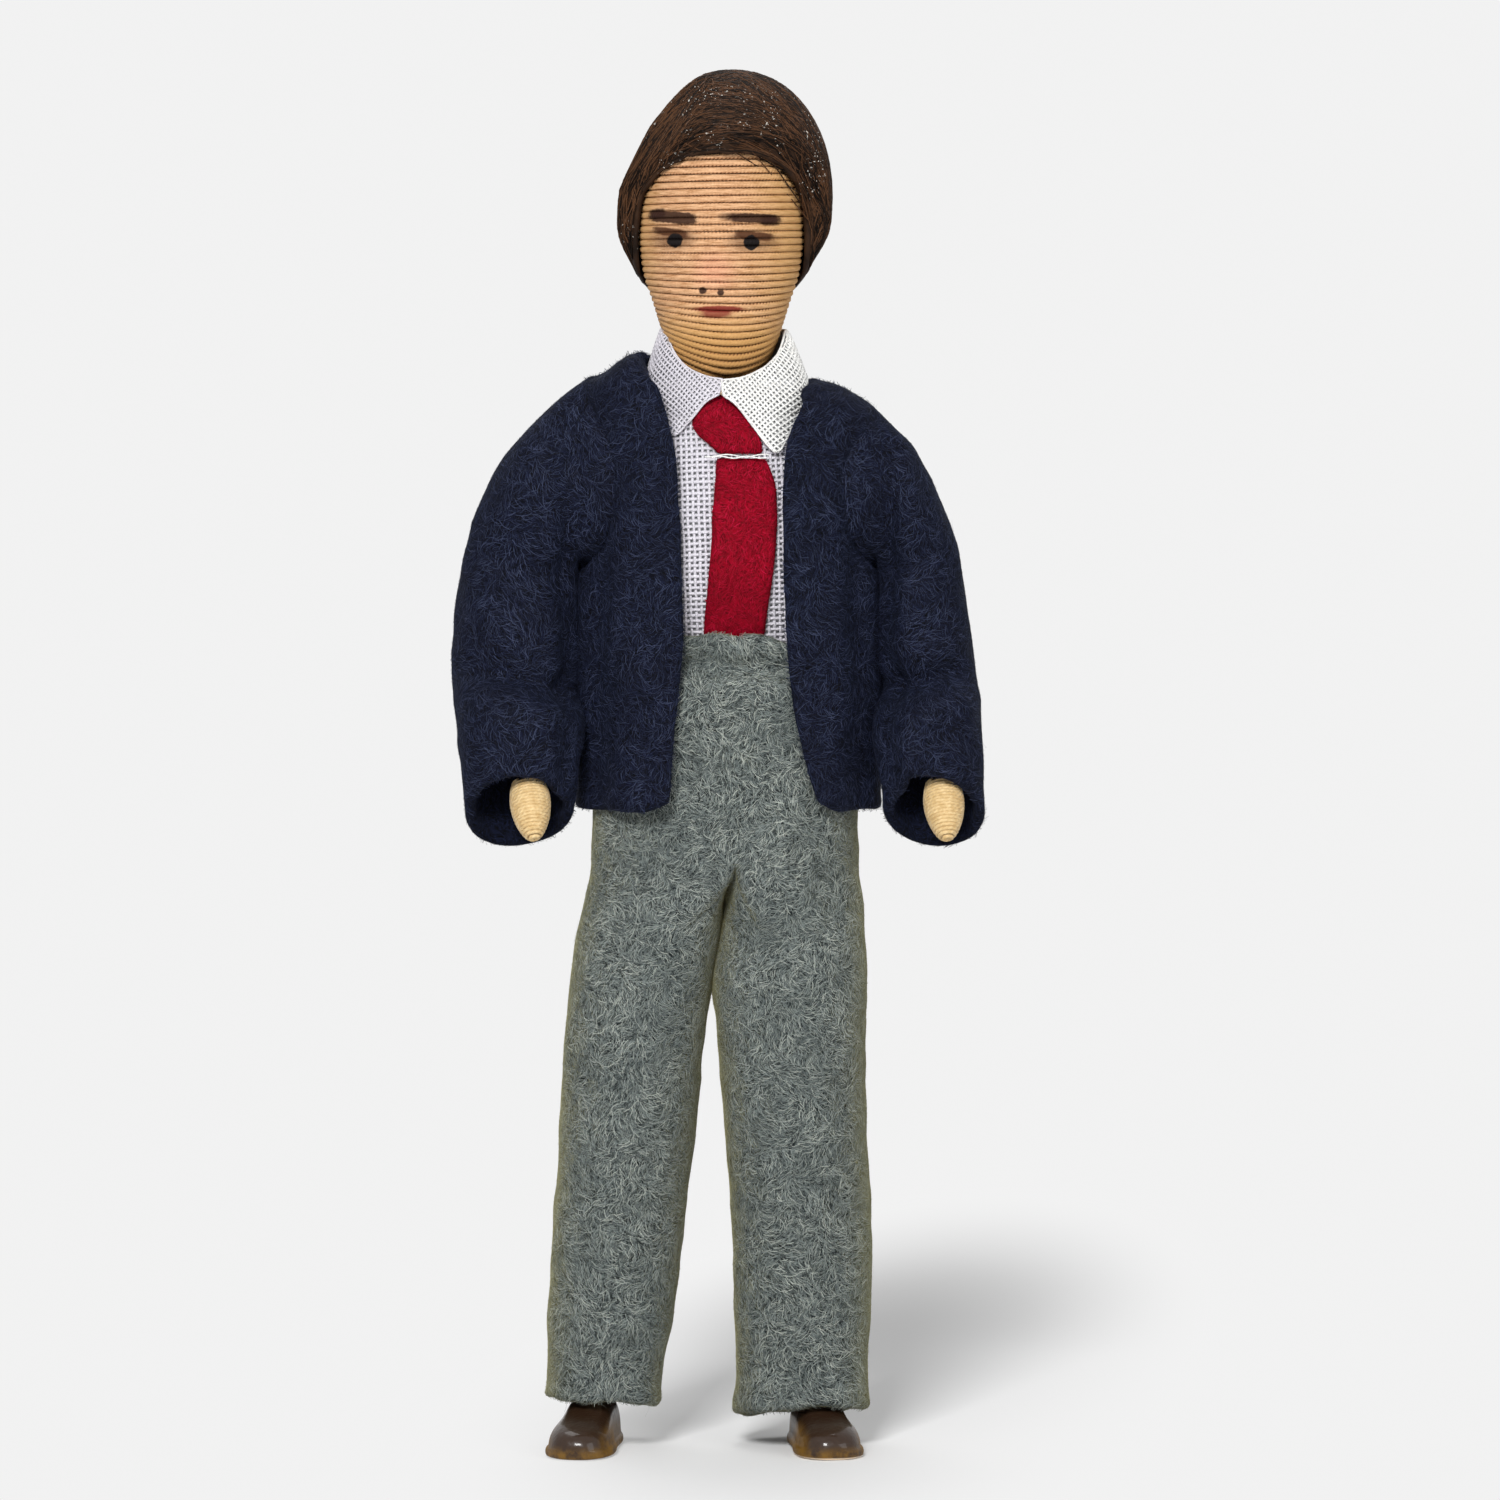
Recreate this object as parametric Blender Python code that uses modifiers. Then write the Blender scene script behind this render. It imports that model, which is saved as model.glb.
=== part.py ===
"""A dolls' house man, 140 mm tall, that bends like wire.

A soft-iron armature is bound with thread and padded, the head is wound with one thread, and the
clothes are felt and shirting cut over it. The doll faces -Y, and its own left hand is at +X. The
origin is on the floor, in the middle of its footprint box.
"""
import math

import bmesh
import bpy
from mathutils import Matrix, Vector

MM = 0.001

# Stock and clearances
CLEARANCE = 0.3 * MM
WIRE_RADIUS = 0.5 * MM
BEND_RADIUS = 0.9 * MM
FELT = 1.1 * MM
SHIRTING = 0.4 * MM
HEAD_THREAD_RADIUS = 0.28 * MM
HEAD_THREAD_PITCH = 1.02 * MM
CUT_OVERRUN = 2.0 * MM
MERGE_WITHIN = 0.01 * MM

# Heights, stacked from the floor
SHOE_HEIGHT = 5.6 * MM
SHIN_LENGTH = 26.4 * MM
THIGH_LENGTH = 27.8 * MM
HIP_TO_WAIST = 19.0 * MM
WAIST_TO_SHOULDER = 18.0 * MM
SHOULDER_TO_NECK = 7.0 * MM
NECK_LENGTH = 5.4 * MM
HEAD_LENGTH = 29.2 * MM

ANKLE_Z = SHOE_HEIGHT + BEND_RADIUS + CLEARANCE
KNEE_Z = ANKLE_Z + SHIN_LENGTH
HIP_Z = KNEE_Z + THIGH_LENGTH
WAIST_Z = HIP_Z + HIP_TO_WAIST
SHOULDER_Z = WAIST_Z + WAIST_TO_SHOULDER
NECK_Z = SHOULDER_Z + SHOULDER_TO_NECK
NOD_Z = NECK_Z + NECK_LENGTH

# Lines that the wires follow, seen from in front and from the side
SPINE_X = 0.7 * MM
SPINE_Y = 1.0 * MM
LIMB_Y = SPINE_Y - 2 * WIRE_RADIUS - CLEARANCE
TORSO_Y = 0.3 * MM
JACKET_X = 1.1 * MM

# Head
HEAD_WIDTH = 16.4 * MM
HEAD_DEPTH = 16.2 * MM
HEAD_X = 0.6 * MM
HEAD_ABOVE_NOD = -1.2 * MM
CHIN_LEAN_SHARE = 0.08
WINDING_LOOPS = 21
WINDING_START = 0.55 * MM
HAIR_THICKNESS = 2.9 * MM
HAIR_CROWN = 1.5 * MM
HAIR_EDGE = 1.2 * MM

# Jacket
JACKET_HALF_WIDTH = 15.2 * MM
JACKET_HALF_DEPTH = 8.9 * MM
JACKET_HEM_FLARE = 0.6 * MM
JACKET_HEM_BELOW_WAIST = 14.2 * MM
JACKET_NECK_HALF_WIDTH = 9.0 * MM
JACKET_NECK_HALF_DEPTH = 8.8 * MM
JACKET_NECK_RISE = 12.4 * MM
SHOULDER_SLOPE_RISE = 8.6 * MM
ARMHOLE_RISE = 8.0 * MM
ARMHOLE_DROP = 9.0 * MM
ARMHOLE_HALF_DEPTH = 6.0 * MM
ARMHOLE_EASE = 0.4 * MM
SHOULDER_DROOP = 0.9 * MM
JACKET_EASE = 0.2 * MM
WAIST_EASE = 0.5 * MM
BODY_STEP = 5.0 * MM
CLOTH_STEP = 3.4 * MM
SEAM_GAP = 0.4 * MM

# Sleeves, cuffs and arms
SLEEVE_HALF_WIDTH = {"left": 5.1 * MM, "right": 6.1 * MM}
CUFF_HALF_DEPTH = 5.2 * MM
CUFF_BELOW_WRIST = 3.6 * MM
CUFF_TILT = math.radians(38)
SLEEVE_CREASE = 0.5 * MM
SHOULDER_OUTSET = 3.2 * MM
UPPER_ARM_LENGTH = 17.0 * MM
FOREARM_DROP = 12.6 * MM
FOREARM_REACH = 7.4 * MM
ELBOW_Y = 0.6 * MM
WRIST_INSET = {"left": -0.9 * MM, "right": 1.4 * MM}
ARM_RADIUS = 2.5 * MM
HAND_LENGTH = 6.2 * MM
HAND_RADIUS = 1.9 * MM
HAND_RIBS = 9
HAND_RIB_DEPTH = 0.2 * MM

# Trousers and legs
SEAT_WAIST_HALF_WIDTH = 12.2 * MM
SEAT_WAIST_HALF_DEPTH = 7.5 * MM
SEAT_HALF_WIDTH = 13.2 * MM
SEAT_HALF_DEPTH = 7.8 * MM
SEAT_ABOVE_WAIST = 3.5 * MM
SEAT_BELOW_HIP = 3.3 * MM
LEG_HALF_WIDTH = 6.95 * MM
LEG_HALF_DEPTH = 6.6 * MM
HEM_HALF_WIDTH = {"left": 6.5 * MM, "right": 5.7 * MM}
HEM_HALF_DEPTH = 5.7 * MM
HEM_Z = 4.9 * MM
LEG_FOLD = 0.35 * MM
LEG_FULLNESS = {"left": 0.35 * MM, "right": 0.1 * MM}
KNEE_OUTSET = {"left": 7.2 * MM, "right": 9.9 * MM}
ANKLE_OUTSET = {"left": 8.7 * MM, "right": 12.8 * MM}
KNEE_Y = -0.5 * MM
ANKLE_Y = 0.6 * MM
THIGH_RADIUS = 4.6 * MM
SHIN_RADIUS = 3.8 * MM

# Shirt and tie
SHIRT_HALF_ANGLE = math.radians(64)
COLLAR_HALF_WIDTH = 6.5 * MM
COLLAR_HALF_DEPTH = 6.2 * MM
COLLAR_HEIGHT = 8.0 * MM
COLLAR_FLARE = 1.8 * MM
SHIRT_NECK_EASE = 1.0 * MM
TIE_THICKNESS = 0.9 * MM
TIE_HALF_WIDTH = 3.2 * MM
TIE_X = 2.6 * MM
TIE_LEAN = 0.6 * MM
TIE_THREAD_RADIUS = 0.2 * MM
KNOT_RISE = 0.9 * MM
KNOT_LENGTH = 4.4 * MM
KNOT_HALF_WIDTH = 2.8 * MM
KNOT_THICKNESS = 1.5 * MM

# Padding, bindings and shoes
BINDING_END_RADIUS = 1.6 * MM
BINDING_SETBACK = 2.6 * MM
BINDING_TAPER = 3.0 * MM
THIGH_SETBACK = 5.2 * MM
NECK_RADIUS = 3.3 * MM
NECK_TOP_RADIUS = 1.2 * MM
NECK_PAD_RADIUS = 4.0 * MM
PADDING_GAP_AT_WAIST = 3.0 * MM
PELVIS_ABOVE_HIP = 5.6 * MM
ARCH_CORNER_RADIUS = 3.0 * MM
ARCH_RISE = 9.0 * MM
SHOE_LENGTH = 15.6 * MM
SHOE_HALF_WIDTH = 3.65 * MM
HEEL_BEHIND_ANKLE = 3.8 * MM
SOLE_THICKNESS = 0.9 * MM
WELT = 0.3 * MM
SHOE_OUTSET = 0.6 * MM
TOE_OUT = math.radians(6)

# How finely each kind of form is faceted
WIRE_STEPS = 8
TURN_STEPS = 12
RING_POINTS = 18
WINDING_STEPS = 20
SIDES = {"left": 1, "right": -1}
FRONT = Vector((0, -1, 0))


def clear_scene():
    """Removes whatever objects the file opened with."""
    for thing in list(bpy.data.objects):
        bpy.data.objects.remove(thing, do_unlink=True)


def new_collection(name):
    """Makes a collection in the scene."""
    group = bpy.data.collections.new(name)
    bpy.context.scene.collection.children.link(group)
    return group


def new_material(name, colour, roughness, metallic=0.0):
    """Makes a Principled material of one colour."""
    material = bpy.data.materials.new(name)
    material.use_nodes = True
    shader = material.node_tree.nodes["Principled BSDF"]
    shader.inputs["Base Color"].default_value = (*colour, 1.0)
    shader.inputs["Roughness"].default_value = roughness
    shader.inputs["Metallic"].default_value = metallic
    return material


def joint_empty(name, place, parent=None):
    """Marks a bend: the pieces that move there hang on this empty."""
    marker = bpy.data.objects.new("bend_" + name, None)
    marker.empty_display_size = BEND_RADIUS
    DOLL.objects.link(marker)
    marker.location = place
    if parent is not None:
        bpy.context.view_layer.update()
        marker.parent = parent
        marker.matrix_parent_inverse = parent.matrix_world.inverted()
    return marker


def add_piece(name, data, material, carrier, matrix=None):
    """Puts a mesh or curve into the doll and hangs it on what carries it."""
    piece = bpy.data.objects.new(name, data)
    data.materials.clear()
    data.materials.append(MATERIALS[material])
    DOLL.objects.link(piece)
    if matrix is not None:
        piece.matrix_world = matrix
    bpy.context.view_layer.update()
    piece.parent = carrier
    piece.matrix_parent_inverse = carrier.matrix_world.inverted()
    return piece


def blunt(value, power):
    """Squares a circle's cosine or sine off, as a rounded box has it."""
    return math.copysign(abs(value) ** (2 / power), value)


def ring(centre, side_vector, front_vector, power=2.0, swell=None, count=RING_POINTS):
    """Points round a section, the first at the front, turning towards side_vector."""
    points = []
    for step in range(count):
        angle = 2 * math.pi * step / count
        offset = (front_vector * blunt(math.cos(angle), power)
                  + side_vector * blunt(math.sin(angle), power))
        if swell is not None:
            offset += offset.normalized() * swell(angle)
        points.append(centre + offset)
    return points


def skin(name, rings, closed=True, capped=False):
    """Skins rings that follow each other downwards, with the faces outwards."""
    mesh = bmesh.new()
    rows = [[mesh.verts.new(point) for point in row] for row in rings]
    count = len(rows[0])
    steps = range(count if closed else count - 1)
    for upper, lower in zip(rows, rows[1:]):
        for step in steps:
            after = (step + 1) % count
            mesh.faces.new((upper[step], upper[after], lower[after], lower[step]))
    if capped:
        mesh.faces.new(list(reversed(rows[0])))
        mesh.faces.new(rows[-1])
    data = bpy.data.meshes.new(name)
    mesh.to_mesh(data)
    mesh.free()
    data.shade_smooth()
    return data


def thicken(piece, thickness, outward=False):
    """Gives an open surface its cloth thickness."""
    wall = piece.modifiers.new("Cloth", "SOLIDIFY")
    wall.thickness = thickness
    wall.offset = 1.0 if outward else -1.0
    return piece


def aim(place, target):
    """A frame at place whose -Z points at target."""
    direction = (place - target).normalized()
    turn = direction.to_track_quat("Z", "Y")
    return Matrix.Translation(place) @ turn.to_matrix().to_4x4()


def turned(name, profile, closed_profile=False):
    """A mesh edge profile in the XZ plane, listed down its outer side."""
    data = bpy.data.meshes.new(name)
    edges = [(step, step + 1) for step in range(len(profile) - 1)]
    if closed_profile:
        edges.append((len(profile) - 1, 0))
    data.from_pydata([(radius, 0, height) for radius, height in profile], edges, [])
    return data


def turn(piece, steps=TURN_STEPS):
    """Turns a profile into a solid."""
    screw = piece.modifiers.new("Turned", "SCREW")
    screw.steps = steps
    screw.render_steps = steps
    screw.use_merge_vertices = True
    screw.merge_threshold = MERGE_WITHIN
    screw.use_smooth_shade = True
    return piece


def knob_profile(start, length, radius, knob_radius):
    """Profile of a wire that hangs from start to a round knob centred at length."""
    points = [(0, -start), (radius, -start)]
    first = math.asin(radius / knob_radius)
    arcs = 4
    for step in range(arcs + 1):
        angle = first + (math.pi - first) * step / arcs
        points.append((knob_radius * math.sin(angle), -length + knob_radius * math.cos(angle)))
    points[-1] = (0, -length - knob_radius)
    return points


def add_wire(name, place, target, carrier, knob=True):
    """A straight wire between two bends, with the far bend's knob on its end."""
    start = BEND_RADIUS + CLEARANCE
    length = (target - place).length
    if knob:
        profile = knob_profile(start, length, WIRE_RADIUS, BEND_RADIUS)
    else:
        profile = [(0, -start), (WIRE_RADIUS, -start), (WIRE_RADIUS, -length), (0, -length)]
    return turn(add_piece(name, turned(name, profile), "wire", carrier, aim(place, target)),
                WIRE_STEPS)


def add_knob(name, place, carrier):
    """The knob of a bend that turns two ways, on a body of its own."""
    arcs = 5
    profile = [(BEND_RADIUS * math.sin(angle), BEND_RADIUS * math.cos(angle))
               for angle in spread(0, math.pi, arcs + 1)]
    profile[0] = (0, BEND_RADIUS)
    profile[-1] = (0, -BEND_RADIUS)
    return turn(add_piece(name, turned(name, profile), "wire", carrier, Matrix.Translation(place)),
                WIRE_STEPS)


def add_binding(name, place, target, carrier, radius, end_radius, setback, far_setback):
    """Thread wound over a limb's wire: a tapered sleeve with a channel for the wire."""
    length = (target - place).length
    bore = WIRE_RADIUS + CLEARANCE
    outer = [(BINDING_END_RADIUS, -setback),
             (radius, -setback - BINDING_TAPER),
             (end_radius, -length + far_setback + BINDING_TAPER),
             (BINDING_END_RADIUS, -length + far_setback)]
    profile = [(bore, -setback)] + outer + [(bore, -length + far_setback)]
    data = turned(name, profile, closed_profile=True)
    return turn(add_piece(name, data, "binding", carrier, aim(place, target)))


def bar_cutter(name, start, end, radius):
    """A round cutter between two points."""
    middle = (start + end) / 2
    turn_to = (end - start).to_track_quat("Z", "Y")
    bpy.ops.mesh.primitive_cylinder_add(vertices=TURN_STEPS, radius=radius,
                                        depth=(end - start).length, location=middle)
    cutter = bpy.context.object
    cutter.name = name
    cutter.rotation_mode = "QUATERNION"
    cutter.rotation_quaternion = turn_to
    return keep_as_cutter(cutter)


def keep_as_cutter(cutter):
    """Moves an object among the cutters, which aren't part of the doll."""
    for group in list(cutter.users_collection):
        group.objects.unlink(cutter)
    CUTTERS.objects.link(cutter)
    cutter.hide_render = True
    cutter.display_type = "WIRE"
    return cutter


def cut(piece, cutter):
    """Cuts a channel or a recess."""
    boolean = piece.modifiers.new("Cut", "BOOLEAN")
    boolean.operation = "DIFFERENCE"
    boolean.object = cutter
    return piece


def wire_curve(name, points, radius, bevel_resolution=2):
    """A bent wire or thread through its points, with filled ends."""
    curve = bpy.data.curves.new(name, "CURVE")
    curve.dimensions = "3D"
    curve.bevel_depth = radius
    curve.bevel_resolution = bevel_resolution
    curve.use_fill_caps = True
    spline = curve.splines.new("POLY")
    spline.points.add(len(points) - 1)
    for knot, point in zip(spline.points, points):
        knot.co = (*point, 1)
    return curve


def curve_to_mesh(piece):
    """Turns a curve object into a welded mesh object, as a cutter has to be."""
    bpy.context.view_layer.update()
    evaluated = piece.evaluated_get(bpy.context.evaluated_depsgraph_get())
    data = bpy.data.meshes.new_from_object(evaluated)
    mesh = bmesh.new()
    mesh.from_mesh(data)
    bmesh.ops.remove_doubles(mesh, verts=mesh.verts, dist=CLEARANCE / 100)
    mesh.to_mesh(data)
    mesh.free()
    solid = bpy.data.objects.new(piece.name + "_solid", data)
    solid.matrix_world = piece.matrix_world
    bpy.context.scene.collection.objects.link(solid)
    bpy.data.objects.remove(piece, do_unlink=True)
    return solid


def blend_rows(rows, height):
    """Reads a table of (height, values...) at a height, running straight between its rows."""
    ordered = sorted(rows)
    if height <= ordered[0][0]:
        return ordered[0][1:]
    for low, high in zip(ordered, ordered[1:]):
        if height <= high[0]:
            share = (height - low[0]) / (high[0] - low[0])
            return tuple(a + (b - a) * share for a, b in zip(low[1:], high[1:]))
    return ordered[-1][1:]


def hip(side):
    """The hip bend."""
    return Vector((SPINE_X + SIDES[side] * (LEG_HALF_WIDTH + CLEARANCE / 2), LIMB_Y, HIP_Z))


def knee(side):
    """The knee bend."""
    return Vector((SPINE_X + SIDES[side] * KNEE_OUTSET[side], KNEE_Y, KNEE_Z))


def ankle(side):
    """The ankle bend."""
    return Vector((SPINE_X + SIDES[side] * ANKLE_OUTSET[side], ANKLE_Y, ANKLE_Z))


def shoulder(side):
    """The shoulder bend."""
    reach = JACKET_HALF_WIDTH + SHOULDER_OUTSET
    return Vector((JACKET_X + SIDES[side] * reach, LIMB_Y, SHOULDER_Z))


def elbow(side):
    """The elbow bend, in the middle of the sleeve."""
    reach = JACKET_HALF_WIDTH + CLEARANCE + SLEEVE_HALF_WIDTH[side]
    return Vector((JACKET_X + SIDES[side] * reach, ELBOW_Y, SHOULDER_Z - UPPER_ARM_LENGTH))


def wrist(side):
    """The wrist bend, forward of the elbow and below it."""
    bend = elbow(side)
    inset = -SIDES[side] * WRIST_INSET[side]
    return bend + Vector((inset, -FOREARM_REACH, -FOREARM_DROP))


# Sections of the clothes over the body: height, half width, half depth
JACKET_SECTIONS = [
    (WAIST_Z - JACKET_HEM_BELOW_WAIST, JACKET_HALF_WIDTH + JACKET_HEM_FLARE,
     JACKET_HALF_DEPTH + JACKET_HEM_FLARE),
    (WAIST_Z, JACKET_HALF_WIDTH, JACKET_HALF_DEPTH),
    (SHOULDER_Z, JACKET_HALF_WIDTH, JACKET_HALF_DEPTH),
    (SHOULDER_Z + SHOULDER_SLOPE_RISE, JACKET_HALF_WIDTH, JACKET_NECK_HALF_DEPTH),
    (SHOULDER_Z + JACKET_NECK_RISE, JACKET_NECK_HALF_WIDTH, JACKET_NECK_HALF_DEPTH),
]
SEAT_SECTIONS = [
    (WAIST_Z + SEAT_ABOVE_WAIST, SEAT_WAIST_HALF_WIDTH, SEAT_WAIST_HALF_DEPTH),
    (HIP_Z + PELVIS_ABOVE_HIP, SEAT_HALF_WIDTH, SEAT_HALF_DEPTH),
    (HIP_Z - SEAT_BELOW_HIP, 2 * LEG_HALF_WIDTH, LEG_HALF_DEPTH + CLEARANCE),
]
SHIRT_INSET = FELT + SHIRTING + CLEARANCE + JACKET_EASE
WAIST_INSET = SHIRT_INSET + WAIST_EASE
SHIRT_SECTIONS = [
    (WAIST_Z, SEAT_WAIST_HALF_WIDTH - WAIST_INSET, SEAT_WAIST_HALF_DEPTH - WAIST_INSET),
    (WAIST_Z + SEAT_ABOVE_WAIST, SEAT_WAIST_HALF_WIDTH - WAIST_INSET,
     SEAT_WAIST_HALF_DEPTH - WAIST_INSET),
    ((WAIST_Z + SHOULDER_Z) / 2, JACKET_HALF_WIDTH - SHIRT_INSET, JACKET_HALF_DEPTH - SHIRT_INSET),
    (SHOULDER_Z, JACKET_HALF_WIDTH - SHIRT_INSET, JACKET_HALF_DEPTH - SHIRT_INSET),
    (NECK_Z, COLLAR_HALF_WIDTH + SHIRT_NECK_EASE, COLLAR_HALF_DEPTH - CLEARANCE),
]
CORE_SECTIONS = [(height, half_width - CLEARANCE, half_depth - CLEARANCE)
                 for height, half_width, half_depth in SHIRT_SECTIONS[:-1]]
CORE_SECTIONS += [((SHOULDER_Z + NECK_Z) / 2, COLLAR_HALF_WIDTH - CLEARANCE,
                   COLLAR_HALF_DEPTH - 2 * CLEARANCE),
                  (NECK_Z - 2 * CLEARANCE, NECK_PAD_RADIUS, NECK_PAD_RADIUS)]
BODY_POWER = 2.25


def section_point(rows, height, angle, offset=0.0, centre_x=JACKET_X):
    """A point on a section of the body, its angle turning from the front to the doll's right."""
    half_width, half_depth = blend_rows(rows, height)
    side_reach = (half_width + offset) * blunt(math.sin(angle), BODY_POWER)
    front_reach = (half_depth + offset) * blunt(math.cos(angle), BODY_POWER)
    return Vector((centre_x - side_reach, TORSO_Y - front_reach, height))


def angle_at(rows, height, x, offset=0.0, centre_x=JACKET_X):
    """The angle at which a section's front reaches x."""
    half_width, _ = blend_rows(rows, height)
    share = (centre_x - x) / (half_width + offset)
    share = max(-1.0, min(1.0, share))
    return math.asin(math.copysign(abs(share) ** (BODY_POWER / 2), share))


def spread(start, end, count):
    """Evenly spaced values with both ends."""
    return [start + (end - start) * step / (count - 1) for step in range(count)]


def row_heights(rows, high, low, step):
    """Heights from high to low that take in every section between them."""
    stops = [high] + [row[0] for row in sorted(rows, reverse=True) if low < row[0] < high] + [low]
    heights = [high]
    for upper, lower in zip(stops, stops[1:]):
        count = max(2, round((upper - lower) / step) + 1)
        heights += spread(upper, lower, count)[1:]
    return heights


def add_body_padding():
    """The chest and pelvis padding, each with channels for its wires."""
    bore = WIRE_RADIUS + CLEARANCE
    chest_heights = row_heights(CORE_SECTIONS, NECK_Z - 2 * CLEARANCE,
                                WAIST_Z + PADDING_GAP_AT_WAIST, BODY_STEP)
    rings = [body_ring(CORE_SECTIONS, height) for height in chest_heights]
    chest = add_piece("chest_padding", skin("chest_padding", rings, capped=True), "padding",
                      JOINTS["torso"])
    spine_low = Vector((SPINE_X, SPINE_Y, WAIST_Z))
    spine_high = Vector((SPINE_X, SPINE_Y, NECK_Z + CUT_OVERRUN))
    cut(chest, bar_cutter("spine_channel", spine_low, spine_high, bore))
    reach = Vector((JACKET_HALF_WIDTH, 0, 0))
    middle = Vector((JACKET_X, LIMB_Y, SHOULDER_Z))
    cut(chest, bar_cutter("shoulder_channel", middle - reach, middle + reach, bore))

    inset = FELT + 2 * CLEARANCE
    heights = row_heights(SEAT_SECTIONS, WAIST_Z - PADDING_GAP_AT_WAIST, HIP_Z + PELVIS_ABOVE_HIP,
                          BODY_STEP)
    rings = [body_ring(SEAT_SECTIONS, height, -inset, SPINE_X) for height in heights]
    pelvis = add_piece("pelvis_padding", skin("pelvis_padding", rings, capped=True), "padding",
                       JOINTS["pelvis"])
    stub_top = Vector((SPINE_X, SPINE_Y, WAIST_Z + CUT_OVERRUN))
    stub_low = Vector((SPINE_X, SPINE_Y, HIP_Z))
    cut(pelvis, bar_cutter("lower_spine_channel", stub_low, stub_top, bore))
    arch = bpy.data.objects.new("hip_wire_channel", wire_curve("hip_wire_channel", arch_points(), bore))
    bpy.context.scene.collection.objects.link(arch)
    cut(pelvis, keep_as_cutter(curve_to_mesh(arch)))


def body_ring(rows, height, offset=0.0, centre_x=JACKET_X):
    """A closed ring of section points."""
    return [section_point(rows, height, 2 * math.pi * step / RING_POINTS, offset, centre_x)
            for step in range(RING_POINTS)]


def arch_points():
    """The hip wire: up from one hip, across inside the pelvis and down to the other."""
    gap = BEND_RADIUS + CLEARANCE
    points = []
    for side, start_angle in (("right", math.pi), ("left", math.pi / 2)):
        foot = hip(side) + Vector((0, 0, gap))
        corner = foot + Vector((-SIDES[side] * ARCH_CORNER_RADIUS, 0,
                                ARCH_RISE - gap - ARCH_CORNER_RADIUS))
        bend = [corner + ARCH_CORNER_RADIUS * Vector((math.cos(angle), 0, math.sin(angle)))
                for angle in spread(start_angle, start_angle - math.pi / 2, 5)]
        points += [foot] + bend if side == "right" else bend + [foot]
    return points


def add_spine():
    """The wires of the trunk and the neck."""
    waist = Vector((SPINE_X, SPINE_Y, WAIST_Z))
    neck = Vector((SPINE_X, SPINE_Y, NECK_Z))
    nod = Vector((SPINE_X, SPINE_Y, NOD_Z))
    stub_foot = Vector((SPINE_X, SPINE_Y, HIP_Z + PELVIS_ABOVE_HIP))
    stub_start = BEND_RADIUS + CLEARANCE
    stub = knob_profile(0, (waist - stub_foot).length, WIRE_RADIUS, BEND_RADIUS)
    turn(add_piece("lower_spine_wire", turned("lower_spine_wire", stub), "wire", JOINTS["pelvis"],
                   aim(stub_foot, waist)))
    spine_length = (neck - waist).length - CLEARANCE
    spine = [(0, -stub_start), (WIRE_RADIUS, -stub_start), (WIRE_RADIUS, -spine_length),
             (0, -spine_length)]
    turn(add_piece("spine_wire", turned("spine_wire", spine), "wire", JOINTS["torso"],
                   aim(waist, neck)))
    neck_wire = knob_profile(0, (nod - neck).length, WIRE_RADIUS, BEND_RADIUS)
    turn(add_piece("neck_wire", turned("neck_wire", neck_wire), "wire", JOINTS["neck"],
                   aim(neck, nod)))
    bore = WIRE_RADIUS + CLEARANCE
    top = NECK_LENGTH - BEND_RADIUS - CLEARANCE - WIRE_RADIUS
    neck_profile = [(bore, -CLEARANCE), (NECK_RADIUS, -CLEARANCE), (NECK_RADIUS, -top / 2),
                    (NECK_TOP_RADIUS, -top), (bore, -top)]
    turn(add_piece("neck_binding", turned("neck_binding", neck_profile, True), "binding",
                   JOINTS["neck"], aim(neck, nod)))
    add_piece("hip_wire", wire_curve("hip_wire", arch_points(), WIRE_RADIUS), "wire",
              JOINTS["pelvis"])
    gap = Vector((BEND_RADIUS + CLEARANCE, 0, 0))
    points = [shoulder("right") + gap, shoulder("left") - gap]
    add_piece("shoulder_wire", wire_curve("shoulder_wire", points, WIRE_RADIUS), "wire",
              JOINTS["torso"])


# The head from its chin up: share of its length, share of its half width
HEAD_OUTLINE_SHARES = [
    (0.0, 0.0), (0.015, 0.30), (0.06, 0.53), (0.13, 0.68), (0.20, 0.765), (0.27, 0.84),
    (0.34, 0.925), (0.44, 0.99), (0.52, 1.0), (0.62, 0.975), (0.72, 0.90), (0.82, 0.77),
    (0.90, 0.60), (0.96, 0.39), (1.0, 0.0),
]


def head_half_width_share(share):
    """The head's half width at a share of its length, as a share of the widest."""
    return blend_rows(HEAD_OUTLINE_SHARES, share)[0]


def head_point(share, angle, offset=0.0):
    """A point on the wound head's surface; angle 0 is the face."""
    width = head_half_width_share(share)
    lean = CHIN_LEAN_SHARE * (1 - share) * HEAD_DEPTH / 2
    half_width = max(width * HEAD_WIDTH / 2 + offset, 0.0)
    half_depth = max(width * HEAD_DEPTH / 2 + offset, 0.0)
    height = NOD_Z + HEAD_ABOVE_NOD + share * HEAD_LENGTH
    return Vector((HEAD_X - half_width * math.sin(angle),
                   SPINE_Y - lean - half_depth * math.cos(angle), height))


HEAD_CORE_SHARES = (0.035, 0.07, 0.13, 0.2, 0.27, 0.35, 0.44, 0.54, 0.64, 0.74, 0.83, 0.9, 0.95)


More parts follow.
